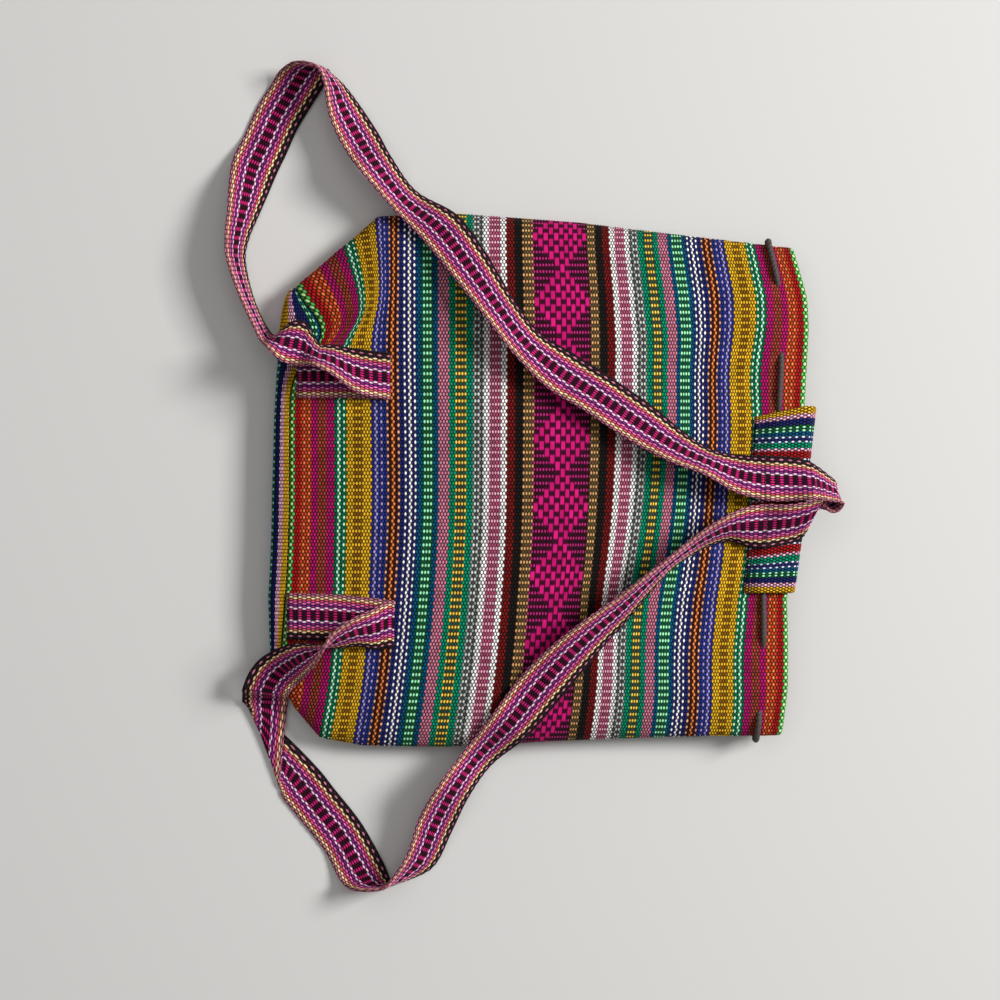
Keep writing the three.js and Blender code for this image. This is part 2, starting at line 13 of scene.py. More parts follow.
import bpy
import numpy as np
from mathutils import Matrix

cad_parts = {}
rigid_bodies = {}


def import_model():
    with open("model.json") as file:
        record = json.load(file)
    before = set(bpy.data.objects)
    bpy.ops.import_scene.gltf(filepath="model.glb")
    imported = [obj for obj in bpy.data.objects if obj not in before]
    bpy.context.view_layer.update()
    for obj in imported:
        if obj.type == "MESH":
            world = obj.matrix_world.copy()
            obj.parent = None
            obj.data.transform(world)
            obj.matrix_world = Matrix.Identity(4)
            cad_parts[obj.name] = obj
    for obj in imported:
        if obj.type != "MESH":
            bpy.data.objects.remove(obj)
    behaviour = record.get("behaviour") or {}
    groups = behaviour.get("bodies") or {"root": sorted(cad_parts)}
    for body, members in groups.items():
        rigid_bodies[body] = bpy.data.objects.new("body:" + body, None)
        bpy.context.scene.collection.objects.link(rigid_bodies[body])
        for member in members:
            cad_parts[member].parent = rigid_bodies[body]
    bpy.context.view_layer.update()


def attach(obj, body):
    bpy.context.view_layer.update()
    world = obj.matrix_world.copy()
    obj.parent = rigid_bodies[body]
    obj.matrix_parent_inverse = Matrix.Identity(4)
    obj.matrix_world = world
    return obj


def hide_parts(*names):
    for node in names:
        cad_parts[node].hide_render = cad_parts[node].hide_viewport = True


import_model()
MM = 0.001

# %% [markdown]
# ## The camera
# The photograph looks straight down. One photo pixel is 0.64 mm on the bag, so the frame is 640 mm wide there.
# A long lens from well above keeps the flat layout of the straps free of perspective stretch.

# %% Camera
PIXEL_MM = 0.64
VIEW_CENTRE = (-27.8 * MM, -12.8 * MM)
VIEW_PLANE = 25 * MM
CAMERA_DISTANCE = 1.6
FRAME_WIDTH = 1000 * PIXEL_MM * MM

camera_data = bpy.data.cameras.new("view_from_above")
camera_data.sensor_width = 36
camera_data.lens = camera_data.sensor_width * CAMERA_DISTANCE / FRAME_WIDTH
camera = bpy.data.objects.new("view_from_above", camera_data)
camera.location = (*VIEW_CENTRE, VIEW_PLANE + CAMERA_DISTANCE)
bpy.context.scene.collection.objects.link(camera)
bpy.context.scene.camera = camera
bpy.context.scene.view_settings.view_transform = "Standard"
print(f"lens {camera_data.lens:.1f} mm at {CAMERA_DISTANCE} m")

# %% [markdown]
# ## The form of the bag
# The cloth's form follows a few rules, the same ones that the solids use. A point of the body is named by its
# distance from the base seam (`along`) and by how far across the width it lies (`across`, from -1 at the lower
# side seam to 1 at the upper one). Writing the form as functions, and not as a sculpted mesh, lets the strap, the
# flap and the cord all ask the same functions how high the cloth is under them. Everything here is in millimetres.

# %% Sizes of the bag
CLEARANCE = 0.3
BAG_LENGTH = 325
BAG_WIDTH = 344
CLOTH_THICKNESS = 2
BASE_HEIGHT = 26
MIDDLE_HEIGHT = 40
MOUTH_OPENING = 14
SIDE_SEAM_HEIGHT = 14
CROWN_AT = 0.45
FLAT_SHARE = 0.8
FRONT_SAG = 0.25
FRONT_RISE_RUN = 48
SKEW = 14
EAR_Y, EAR_LEAN, EAR_HALF_LENGTH, EAR_SPREAD = 95, 0.5, 22, 0.6
EAR_SHIFT, EAR_RISE, EAR_START, EAR_REACH = 20, 5, 10, 75
FLAP_THICKNESS, FLAP_UPPER_Y, FLAP_LOWER_Y = 2.4, 47, -72
FLAP_SEAM_DROP, FLAP_SEAM_FROM_RIM, FLAP_OVERHANG, FLAP_SLANT = 7, 32, 9, 3.5
FLAP_UNDER_LENGTH, FLAP_MARGIN = 92, 4
STRAP_WIDTH, STRAP_THICKNESS, STRAP_LAYER_GAP = 30, 2, 0.8
CORD_DIAMETER, CORD_FROM_RIM, CORD_SLACK, KNOT_DIAMETER = 4, 16, 0.8, 8.6
UPPER_EDGE_INSET = [(0, 47), (25, 24), (54, 2), (105, 0), (186, 6), (258, 15), (325, 23)]
LOWER_EDGE_INSET = [(0, 44), (14, 24), (32, 6), (60, 1), (112, 0), (186, 4), (258, 7), (325, 8)]
RIM_SHIFT = [(-161, 3), (-134, 2), (-76, -4.6), (0, 0), (47, 4), (98, 7), (117, 6), (150, -2.5)]
BASE_BULGE = [(-128, 6), (-109, 8), (-77, 11.7), (-12, 12), (41, 10.5), (77, 8.5), (125, 6)]

BASE_X = -BAG_LENGTH / 2
CORD_RADIUS = CORD_DIAMETER / 2
FRONT_LIFT = FLAP_THICKNESS + KNOT_DIAMETER + 2 * CLEARANCE + CORD_SLACK
MOUTH_HEIGHT = FRONT_LIFT + 2 * CLOTH_THICKNESS + MOUTH_OPENING
FLAP_LIFT = CORD_DIAMETER + 2 * CLEARANCE
LIFT_END = BAG_LENGTH - FLAP_UNDER_LENGTH
LIFT_START = LIFT_END - FRONT_RISE_RUN
print(f"the mouth stands {MOUTH_HEIGHT:.1f} mm high")

# %% Rules for the body cloth


def lerp(a, b, share):
    return a + (b - a) * share


def smoothstep(value, low, high):
    share = np.clip((value - low) / (high - low), 0, 1)
    return share * share * (3 - 2 * share)


def xyz(x, y, z):
    return np.stack(np.broadcast_arrays(x, y, z), axis=-1)


def rise_and_fall(value, rise, fall):
    return smoothstep(value, *rise) * (1 - smoothstep(value, *fall))


def bell(offset, half_length):
    return np.exp(-((offset / half_length) ** 2))


def edges_at(along):
    upper = BAG_WIDTH / 2 - np.interp(along, *zip(*UPPER_EDGE_INSET))
    lower = -(BAG_WIDTH / 2 - np.interp(along, *zip(*LOWER_EDGE_INSET)))
    return upper, lower


def crown_height(along):
    along = np.clip(along, 0, BAG_LENGTH)
    middle = BAG_LENGTH * CROWN_AT
    rising = lerp(BASE_HEIGHT, MIDDLE_HEIGHT, np.sin(math.pi / 2 * along / middle))
    falling = lerp(MOUTH_HEIGHT, MIDDLE_HEIGHT, np.cos(math.pi / 2 * (along - middle) / (BAG_LENGTH - middle)))
    return np.where(along < middle, rising, falling)


def front_height(along, across):
    return FRONT_LIFT * smoothstep(along, LIFT_START, LIFT_END) * (1 - FRONT_SAG * across**2)


def side_height(along, across):
    mouth_side = (MOUTH_HEIGHT + front_height(BAG_LENGTH, across)) / 2
    return lerp(SIDE_SEAM_HEIGHT, mouth_side, smoothstep(along, LIFT_START, BAG_LENGTH))


def from_ear(along, y):
    return y - EAR_Y - EAR_LEAN * np.maximum(0, along)


def ear_shift(along, y):
    above = from_ear(along, y)
    half_length = EAR_HALF_LENGTH + np.where(above > 0, EAR_SPREAD * np.maximum(0, along), 0)
    return EAR_SHIFT * bell(above, half_length) * (1 - smoothstep(along, EAR_START, EAR_REACH))


def stripe_shift(along, y):
    skew = np.where(y < 0, -SKEW * (y / (BAG_WIDTH / 2)) ** 2, 0)
    rim = np.interp(y, *zip(*RIM_SHIFT)) * np.clip(along / BAG_LENGTH, 0, 1) ** 3
    return skew + ear_shift(along, y) + rim


def ear_rise(along, y):
    return EAR_RISE * bell(from_ear(along, y), 1.5 * EAR_HALF_LENGTH) * bell(along - EAR_REACH / 3, EAR_REACH / 2)


def back_dome(across):
    return np.sqrt(np.maximum(0, 1 - np.abs(across) ** 4))


def front_dome(across):
    past = np.maximum(0, np.abs(across) - FLAT_SHARE) / (1 - FLAT_SHARE)
    return np.sqrt(np.maximum(0, 1 - past**2))


def body_point(along, across, on_back, inset):
    upper, lower = edges_at(along)
    flat_y = lerp(lower, upper, (across + 1) / 2)
    side = side_height(along, across)
    rise = crown_height(along) + ear_rise(along, flat_y) - inset - side
    fall = side - front_height(along, across) - inset
    z = np.where(on_back, side + rise * back_dome(across), side - fall * front_dome(across))
    return xyz(BASE_X + along + stripe_shift(along, flat_y), flat_y - inset * across, z)


print("the base seam runs from Y {1:.0f} to {0:.0f} mm".format(*edges_at(0)))

# %% Heights that other pieces rest on
PLACE_ROUNDS = 8


def base_bulge(across):
    upper, lower = edges_at(0)
    y = lerp(lower, upper, (across + 1) / 2)
    return (np.interp(y, *zip(*BASE_BULGE)) + ear_shift(0, y)) * np.sqrt(np.maximum(0, 1 - np.abs(across) ** 16))


def place_on_bag(x, y):
    """The place along and across the body above a point. The stripes' shift is taken off in a few rounds."""
    along = x - BASE_X
    for _ in range(PLACE_ROUNDS):
        along = x - BASE_X - stripe_shift(along, y)
    upper, lower = edges_at(np.maximum(0, along))
    return along, 2 * (y - lower) / (upper - lower) - 1


def back_height(x, y):
    along, across = place_on_bag(x, y)
    inside = np.clip(across, -1, 1)
    cloth = body_point(np.clip(along, 0, BAG_LENGTH), inside, True, 0)[..., 2]
    depth = np.clip(-along / np.maximum(base_bulge(inside), 1e-6), 0, 1)
    cap = cloth / 2 + cloth / 2 * np.cbrt(1 - depth**3)
    height = np.where(along >= 0, cloth, np.where(depth < 1, cap, 0))
    return np.where((np.abs(across) >= 1) | (along > BAG_LENGTH), 0, height)


def rim_x(y):
    return BASE_X + BAG_LENGTH + stripe_shift(BAG_LENGTH, y)


def flap_slant(y):
    return FLAP_SLANT * (FLAP_UPPER_Y - y) / (FLAP_UPPER_Y - FLAP_LOWER_Y)


def flap_seam_x(y):
    return rim_x(y) - FLAP_SEAM_FROM_RIM + flap_slant(y)


def flap_rise(x, y):
    lift = FLAP_LIFT * smoothstep(x, flap_seam_x(y), rim_x(y) - CORD_FROM_RIM - CORD_RADIUS)
    return back_height(np.minimum(x, rim_x(y) - CLEARANCE), y) + CLEARANCE + lift


def flap_height(x, y):
    near_y = (y <= FLAP_UPPER_Y + FLAP_MARGIN) & (y >= FLAP_LOWER_Y - FLAP_MARGIN)
    over = near_y & (x >= flap_seam_x(y) - FLAP_MARGIN) & (x <= rim_x(y) + FLAP_OVERHANG - flap_slant(y))
    return np.where(over, flap_rise(np.minimum(x, rim_x(y)), y) + FLAP_THICKNESS, 0)


def ground(x, y):
    return np.maximum(back_height(x, y), flap_height(x, y))


print(f"cloth height at the middle: {float(back_height(0.0, 0.0)):.1f} mm")

# %% [markdown]
# ## Small helpers
# A node tree reads best when each node is one line. One function adds a node, sets its properties and links or
# fills its inputs, for materials and for geometry alike, and each tree has a short form of it named `node`.
# Colours are written as sRGB hex and made linear once.

# %% Node, colour and mesh helpers


def fill_inputs(tree, made, inputs):
    """Inputs are a list in socket order or a dict by name, of values, sockets or other nodes."""
    for key, value in inputs.items() if isinstance(inputs, dict) else enumerate(inputs):
        value = value.outputs[0] if isinstance(value, bpy.types.Node) else value
        if isinstance(value, bpy.types.NodeSocket):
            tree.links.new(value, made.inputs[key])
        else:
            made.inputs[key].default_value = value


def add_node(tree, kind, inputs=(), operation=None, **settings):
    """Adds a node, sets its properties and fills its inputs."""
    made = tree.nodes.new(kind)
    if operation:
        made.operation = operation
    for key, value in settings.items():
        setattr(made, key, value)
    fill_inputs(tree, made, inputs)
    return made


def linear(hex_colour):
    channels = [int(hex_colour[i : i + 2], 16) / 255 for i in (1, 3, 5)]
    return [c / 12.92 if c <= 0.04045 else ((c + 0.055) / 1.055) ** 2.4 for c in channels]


def new_material(name):
    """A material, the function that adds its nodes and the one that sets its surface."""
    made = bpy.data.materials.new(name)
    made.use_nodes = True
    tree = made.node_tree
    return made, partial(add_node, tree), partial(fill_inputs, tree, tree.nodes["Principled BSDF"])


def show(mesh, name):
    made = bpy.data.objects.new(name, mesh)
    bpy.context.scene.collection.objects.link(made)
    return made


def run_along(points):
    """The distance along a line of points, from its start."""
    return np.r_[0, np.cumsum(np.linalg.norm(np.diff(points, axis=0), axis=1))]


def grid_sheet(name, points, u, v):
    """A sheet of quads through a grid of points in millimetres, with its own UV map in 0 to 1."""
    rows, columns = points.shape[:2]
    index = np.arange(rows * columns).reshape(rows, columns)
    quads = np.stack([index[:-1, :-1], index[1:, :-1], index[1:, 1:], index[:-1, 1:]], axis=-1).reshape(-1, 4)
    mesh = bpy.data.meshes.new(name)
    mesh.from_pydata((points.reshape(-1, 3) * MM).tolist(), [], quads.tolist())
    layer = mesh.uv_layers.new(name="UVMap")
    uv = np.stack(np.broadcast_arrays(u, v), axis=-1).reshape(-1, 2)
    layer.data.foreach_set("uv", uv[quads.ravel()].ravel())
    mesh.shade_smooth()
    return show(mesh, name)


def settle(made, name):
    """Turns an object with live geometry nodes into a plain mesh object."""
    evaluated = made.evaluated_get(bpy.context.evaluated_depsgraph_get())
    mesh = bpy.data.meshes.new_from_object(evaluated)
    bpy.data.objects.remove(made)
    mesh.name = name
    return show(mesh, name)


def run_tree(made, tree, values, name):
    modifier = made.modifiers.new(tree.name, "NODES")
    modifier.node_group = tree
    sockets = {s.name: s.identifier for s in tree.interface.items_tree if s.in_out == "INPUT"}
    for key, value in values.items():
        modifier[sockets[key]] = value
    return settle(made, name)


def new_tree(name, inputs, output):
    """A geometry tree, the function that adds its nodes, and what it is given."""
    tree = bpy.data.node_groups.new(name, "GeometryNodeTree")
    for label, kind in inputs.items():
        tree.interface.new_socket(label, in_out="INPUT", socket_type="NodeSocket" + kind)
    tree.interface.new_socket(output, in_out="OUTPUT", socket_type="NodeSocketGeometry")
    return tree, partial(add_node, tree), tree.nodes.new("NodeGroupInput").outputs


def end_tree(node, shape, material):
    """The same end for each tree: smooth faces, made real, with their material."""
    smooth = node("GeometryNodeSetShadeSmooth", [shape])
    real = node("GeometryNodeRealizeInstances", [smooth])
    node("NodeGroupOutput", [node("GeometryNodeSetMaterial", {0: real, "Material": material})])


print("helpers ready")

# %% [markdown]
# ## The threads
# Every cloth here is warp-faced: the lengthwise threads, the ends, lie so close that they hide the cross threads,
# the picks. Each end dives under every other pick, so the face is a close pattern of small beads, and the colour
# of a bead is the colour of its end. Ends of one colour make a plain stripe. Ends that alternate between two
# colours make crossbars, because the even ends show on the even picks and the odd ends on the odd picks.
# A stripe is therefore written as its width and the colours of its ends.

# %% Thread colours
THREADS = {
    "dash": "#a82468", "plum": "#320a1e", "black": "#1c1614", "tan": "#cc9a62", "soot": "#5c4a2e",
    "wine": "#741412", "white": "#fcf8f4", "rose": "#e69cb0", "burgundy": "#a8486a", "petal": "#cc7890",
    "grey": "#cacac4", "slate": "#444a46", "ash": "#868a86", "green": "#00906a", "yellow": "#ecc44c",
    "pine": "#2a4a3c", "teal": "#005478", "mint": "#98ecb2", "forest": "#00522e", "navy": "#1e2568",
    "orange": "#e88444", "brown": "#421608", "peach": "#e0a486", "blue": "#243080", "lavender": "#a090cc",
    "gold": "#e2ae20", "olive": "#84560e", "leaf": "#006c40", "frost": "#b4f0cc", "magenta": "#b41468",
    "brick": "#a23434", "moss": "#8c5426", "flame": "#c4401e", "ember": "#e07c44", "red": "#b0181a",
    "lime": "#5cb850", "pale_lime": "#acec94", "mauve": "#c07486", "cream": "#f8d4a0", "cerise": "#d63c80",
    "purple": "#7e1e78", "blush": "#f6c4e0", "pink": "#e06ca6", "coral": "#d45c54", "night": "#2c0a1c",
    "sky": "#d0d8f0", "char": "#2a1c24", "fuchsia": "#c0206e",
}
# Stripes of the body from the middle of the cloth to its edge: width in photo pixels, colours in turn, ends
BODY_HALF = [
    (28.5, "plum dash", 19), (10, "tan soot", 7), (8, "black", 5), (8, "wine", 5), (6, "white", 4),
    (11, "rose burgundy", 8), (5, "white", 3), (11, "grey slate ash grey slate grey ash", 7), (6.5, "green", 4),
    (10.5, "pine yellow", 7), (6, "green", 4), (11, "petal", 7), (5, "teal", 3), (11, "forest mint", 7),
    (5, "teal", 3), (14, "navy white navy navy white white navy navy white navy", 10), (4, "navy", 2),
    (12, "peach brown brown orange orange brown brown peach", 8),
    (15, "blue blue blue lavender blue blue lavender lavender blue blue", 10),
    (24, "gold gold gold gold gold gold olive gold olive gold olive gold gold gold gold gold", 16),
    (11.5, "leaf frost leaf leaf frost frost leaf leaf", 8), (7.5, "magenta", 5), (9, "brick moss brick", 6),
    (6, "magenta", 4), (11, "flame ember flame flame ember flame flame", 7), (5.5, "red", 4),
    (5, "lime pale_lime lime", 3),
]
STRAP_ENDS = (
    "char char char mauve char char cream cream coral cerise pink pink purple purple blush blush "
    "night fuchsia night fuchsia night fuchsia night fuchsia blush blush purple purple pink pink cerise coral "
    "cream cream mauve mauve mauve"
).split()
BORDER_HALF = (
    "gold gold gold gold gold rose blush rose navy navy navy navy forest mint forest mint teal teal teal sky "
    "navy navy sky green green green green blush rose red red red red red sky black black black black black"
).split()
BASE_HALF = ("gold " * 8 + "rose blush " * 3 + "navy " * 6).split() + BORDER_HALF[10:33]


def stripe_ends(stripes, first, step):
    """The colour name of each end from the middle out, and its place in photo pixels. Two colours that take turns
    are set by whether the end is odd or even, so that their crossbars line up over the whole cloth."""
    names, places, start = [], [], 0
    for width, colours, count in stripes:
        cycle = colours.split()
        for k in range(count):
            turn = first + step * len(names) if len(cycle) == 2 else k
            names.append(cycle[turn % len(cycle)])
            places.append(start + width * (k + 0.5) / count)
        start += width
    return names, np.array(places)


HALF_ENDS = sum(count for _, _, count in BODY_HALF)
left_names, half_places = stripe_ends(BODY_HALF, HALF_ENDS - 1, -1)
right_names, half_places = stripe_ends(BODY_HALF, HALF_ENDS, 1)
body_ends = left_names[::-1] + right_names
print(len(body_ends), "ends in the body,", len(STRAP_ENDS), "in the strap")

# %% The warp: one point for each end, carrying its colour
FLAP_END_COUNT = 128


def make_warp(name, ends):
    mesh = bpy.data.meshes.new(name)
    mesh.from_pydata([(k * MM, 0, 0) for k in range(len(ends))], [], [])
    colours = mesh.attributes.new("colour", "FLOAT_VECTOR", "POINT")
    colours.data.foreach_set("vector", np.array([linear(THREADS[e]) for e in ends]).ravel())
    return show(mesh, name)


base_ends = BASE_HALF + BASE_HALF[::-1]
flap_middle = (BORDER_HALF[6:-5] * 2)[: FLAP_END_COUNT - 2 * len(BORDER_HALF)]
flap_ends = BORDER_HALF + flap_middle + BORDER_HALF[::-1]
body_warp = make_warp("body_warp", body_ends)
strap_warp = make_warp("strap_warp", STRAP_ENDS)
base_warp = make_warp("base_warp", base_ends)
flap_warp = make_warp("flap_warp", flap_ends)
print("warps:", len(base_ends), "ends in the base,", len(flap_ends), "in the flap")

# %% [markdown]
# ## The loom
# Weave could be a bump texture, but from a step away the beads are what makes the cloth look hand-woven, and they
# catch the light along every fold. So one node tree, the loom, weaves any smooth sheet: it lays a grid of ends and
# picks over the sheet's UV map and lifts every second crossing into a crown. A bead is as long as one pick and as
# wide as two ends, so each cell of the grid shows two beads, one in its low half and one in its high half, and it
# carries both their colours. A back layer with the opposite crossings is welded on at the borders.

# %% Loom tree
MATH, WHOLE, VECTOR = "ShaderNodeMath", "FunctionNodeIntegerMath", "ShaderNodeVectorMath"
NAMED, STORE = "GeometryNodeInputNamedAttribute", "GeometryNodeStoreNamedAttribute"
CROWN_PULL = 9


def grid_place(node, count):
    """The row and the pick of each part of the grid, with so many parts in a row."""
    index = node("GeometryNodeInputIndex")
    return node(WHOLE, [index, count], "DIVIDE_FLOOR"), node(WHOLE, [index, count], "MODULO")


def in_turn(node, row, pick, first):
    """0 and 1 in turn, both along the rows and across them."""
    total = node(WHOLE, [node(WHOLE, [row, pick], "ADD"), first], "ADD")
    return node(WHOLE, [total, 2], "MODULO")


def row_share(node, given, back, row, last_row):
    """How far across the ends a row lies. The rows of the back layer can be gathered towards the last end."""
    share = node(MATH, [row, last_row], "DIVIDE")
    if not back:
        return share
    left = node(MATH, [1.0, share], "SUBTRACT")
    gathered = node(MATH, [left, given["Gather"]], "POWER")
    return node(MATH, [1.0, gathered], "SUBTRACT")


def loom_cells(node, given, back, rows, last_row, last_pick, last_end):
    """A flat grid of ends and picks whose cells carry the colours of the beads in their low and high halves."""
    cells = node("GeometryNodeMeshGrid", {"Vertices X": rows, "Vertices Y": given["Picks"]})
    row, pick = grid_place(node, last_pick)
    step = in_turn(node, row, pick, back)
    high_step = node(WHOLE, [1, step], "SUBTRACT")
    turned = node(MATH, [pick, given["Turned picks"]], "LESS_THAN")
    turn = node(MATH, [turned, given["Turned ends"]], "MULTIPLY")
    share = row_share(node, given, back, row, last_row)
    near_end = node(MATH, [node(MATH, [share, last_end, 0.5], "MULTIPLY_ADD")], "FLOOR")
    warp = node("GeometryNodeObjectInfo", {"Object": given["Warp"]}).outputs["Geometry"]
    colour = node(NAMED, {"Name": "colour"}, data_type="FLOAT_VECTOR")
    for name, part in (("low_thread", step), ("high_thread", high_step)):
        end = node(MATH, [near_end, part], "ADD")
        end = node(MATH, [node(MATH, [end, turn], "SUBTRACT")], "ABSOLUTE")
        dye = node("GeometryNodeSampleIndex", [warp, colour, end], data_type="FLOAT_VECTOR")
        cells = node(STORE, {0: cells, "Name": name, "Value": dye}, data_type="FLOAT_COLOR", domain="FACE")
    return cells


def loom_layer(node, given, back, rows):
    """One face of the cloth: its cells, lifted into crowns and laid on the sheet."""
    row, pick = grid_place(node, given["Picks"])
    last_row, last_pick, last_end = (
        node(WHOLE, [count, 1], "SUBTRACT") for count in (rows, given["Picks"], given["Ends"]))
    u = row_share(node, given, back, row, last_row)
    v = node(MATH, [pick, last_pick], "DIVIDE")
    cells = loom_cells(node, given, back, rows, last_row, last_pick, last_end)

    # Number the ends and picks at every corner, so that the finish can find its place in the weave
    end_place = node(MATH, [u, last_end, back], "MULTIPLY_ADD")
    pick_place = node(MATH, [pick, 0.5], "ADD")
    place = node("ShaderNodeCombineXYZ", [end_place, pick_place])
    at_point = node("GeometryNodeFieldOnDomain", [place], data_type="FLOAT_VECTOR", domain="POINT")
    cells = node(STORE, {0: cells, "Name": "weave", "Value": at_point}, data_type="FLOAT_VECTOR", domain="CORNER")

    # A crown is a crossing where the end lies on top, and the back layer takes the other crossings. Each cell is
    # split between its low crossings: the crowns are pulled apart first, and then the shorter diagonal is taken.
    odd_row = node(WHOLE, [row, 2], "MODULO")
    crown = in_turn(node, row, pick, 1 - back)
    apart = node(MATH, [odd_row, 2 * CROWN_PULL, -CROWN_PULL], "MULTIPLY_ADD")
    pulled = node(MATH, [crown, apart], "MULTIPLY")
    flat = node("ShaderNodeCombineXYZ", [row, pick, pulled])
    spread = node("GeometryNodeSetPosition", {"Geometry": cells, "Position": flat})
    split = node("GeometryNodeTriangulate", [spread], quad_method="SHORTEST_DIAGONAL")

    # Both layers thin down to the middle of the cloth at a border, where they are welded
    borders = []
    for at, last in ((row, last_row), (pick, last_pick)):
        near = node(MATH, [at, node(MATH, [last, at], "SUBTRACT")], "MINIMUM")
        borders.append(node(MATH, [near, 1], "MINIMUM"))
    pick_border = node(MATH, [borders[1], given["Closed"]], "MAXIMUM")
    inside = node(MATH, [borders[0], pick_border], "MULTIPLY")
    half = node(MATH, [given["Thickness"], 0.5], "MULTIPLY")
    lift = node(MATH, [crown, given["Crown"], half], "MULTIPLY_ADD")
    lift = node(MATH, [lift, inside], "MULTIPLY")
    lift = node(MATH, [lift, 1 - 2 * back], "MULTIPLY")

    # Place the crossings on the sheet
    uv_map = node(NAMED, {"Name": "UVMap"}, data_type="FLOAT_VECTOR")
    at = node("ShaderNodeCombineXYZ", [u, v])
    sheet = [
        node("GeometryNodeSampleUVSurface", [given["Sheet"], node(field), uv_map, at], data_type="FLOAT_VECTOR")
        for field in ("GeometryNodeInputPosition", "GeometryNodeInputNormal")
    ]
    raised = node(VECTOR, {0: sheet[1], "Scale": lift}, "SCALE")
    place = node(VECTOR, [sheet[0], raised], "ADD")
    woven = node("GeometryNodeSetPosition", {"Geometry": split, "Position": place})
    return node("GeometryNodeFlipFaces", [woven]) if back else woven


def build_loom():
    inputs = {"Sheet": "Geometry", "Warp": "Object", "Ends": "Int", "Picks": "Int", "Back rows": "Int",
              "Gather": "Float", "Closed": "Int", "Turned ends": "Int", "Turned picks": "Int",
              "Crown": "Float", "Thickness": "Float", "Material": "Material"}
    tree, node, given = new_tree("loom", inputs, "Cloth")
    joined = node("GeometryNodeJoinGeometry")
    for back, rows in ((0, given["Ends"]), (1, given["Back rows"])):
        tree.links.new(loom_layer(node, given, back, rows).outputs[0], joined.inputs[0])
    welded = node("GeometryNodeMergeByDistance", {0: joined, "Distance": 0.02 * MM})
    end_tree(node, welded, given["Material"])
    return tree


loom = build_loom()


def weave_sheet(sheet, warp, name, cotton, picks, crown, core, other=()):
    """Weaves a sheet with the ends of a warp. The crowns and the core between them are in millimetres."""
    ends = len(warp.data.vertices)
    values = {"Warp": warp, "Ends": ends, "Picks": picks, "Back rows": ends, "Gather": 1.0, "Closed": 0,
              "Crown": crown * MM, "Thickness": core * MM, "Material": cotton}
    return run_tree(sheet, loom, values | dict(other), name)


print(len(loom.nodes), "nodes in the loom")

# %% [markdown]
# ## Cotton
# Hand-spun cotton is matt, with a faint sheen of loose fibre. Each crown of the weave shows as one bead, an oval
# that keeps its thread's colour in the middle and is painted dark with shade where it dives under the next pick.
# The crowns lie on every second crossing, so in half sums and half differences of the end and pick numbers they
# lie
# on whole numbers: rounding finds the bead nearest to a point, and the distance to its middle sets its painted
# shade.
# The colour wavers along the threads too, because the dye took unevenly.

# %% Woven cotton
# Loose fibre is drawn coarser than real, so that it shows from the camera
FIBRE_MM, DYE_MM = 0.5, 9
NOISE_RANGE, DYE_SHADES, FIBRE_SHADES = (0.3, 0.7), (0.86, 1.12), (0.85, 1.12)
# Painted shade: a bead keeps its thread's colour in its core, and towards its edge the colour is painted down to
# JOINT_SHADE, as shade between the beads
BEAD_CORE, JOINT_SHADE, BEAD_SHADES = 0.42, 0.06, (0.86, 1.2)
# Half the length of a bead, in ends across and in picks along
BODY_BEAD, BORDER_BEAD, BAND_BEAD = (0.88, 0.62), (0.74, 0.56), (0.86, 0.6)


def woven_cotton(name, bead_size, figure=None):
    material, node, set_surface = new_material(name)
    weave = node("ShaderNodeAttribute", attribute_name="weave").outputs["Vector"]
    place = node("ShaderNodeSeparateXYZ", [weave])

    # The nearest bead, and the way to this point from its middle
    total = node(MATH, [place.outputs["X"], place.outputs["Y"]], "ADD")
    differ = node(MATH, [place.outputs["X"], place.outputs["Y"]], "SUBTRACT")
    lattice = node("ShaderNodeCombineXYZ", [
        node(MATH, [total, 0.5, 0.25], "MULTIPLY_ADD"),
        node(MATH, [differ, 0.5, 0.75], "MULTIPLY_ADD")])
    bead = node(VECTOR, [lattice], "FLOOR")
    part = node(VECTOR, [lattice], "FRACTION")
    off = node(VECTOR, [part, (0.5, 0.5, 0)], "SUBTRACT")
    wide, tall = bead_size
    away = node("ShaderNodeCombineXYZ", [
        node(VECTOR, [off, scale], "DOT_PRODUCT").outputs["Value"]
        for scale in ((1 / wide, 1 / wide, 0), (1 / tall, -1 / tall, 0))])
    reach = node(VECTOR, [away], "LENGTH").outputs["Value"]
    joint = node("ShaderNodeMapRange", [reach, BEAD_CORE, 1.0], interpolation_type="SMOOTHSTEP")

    # The thread that the bead belongs to, and how strongly this one took the light
    bead_pick = node(VECTOR, [bead, (1, -1, 0)], "DOT_PRODUCT").outputs["Value"]
    bead_middle = node(MATH, [bead_pick, 0.5], "ADD")
    upper = node(MATH, [bead_middle, place.outputs["Y"]], "GREATER_THAN")
    halves = ("low_thread", "high_thread")
    low, high = (node("ShaderNodeAttribute", attribute_name=half) for half in halves)
    thread = node("ShaderNodeMixRGB", [upper, low, high])
    chance = node("ShaderNodeTexWhiteNoise", {"Vector": bead}, noise_dimensions="2D")
    light = node("ShaderNodeMapRange", [chance, 0.0, 1.0, *BEAD_SHADES])
    # Painted shade: the bead's colour darkens from its core to its joints, where shade falls between the beads
    shade = node("ShaderNodeMix", {0: joint, 2: light, 3: JOINT_SHADE})
    if figure:
        thread, shade, joint = figure(node, weave, thread, shade, joint)
    set_surface(cotton_surface(node, thread, shade, joint))
    return material


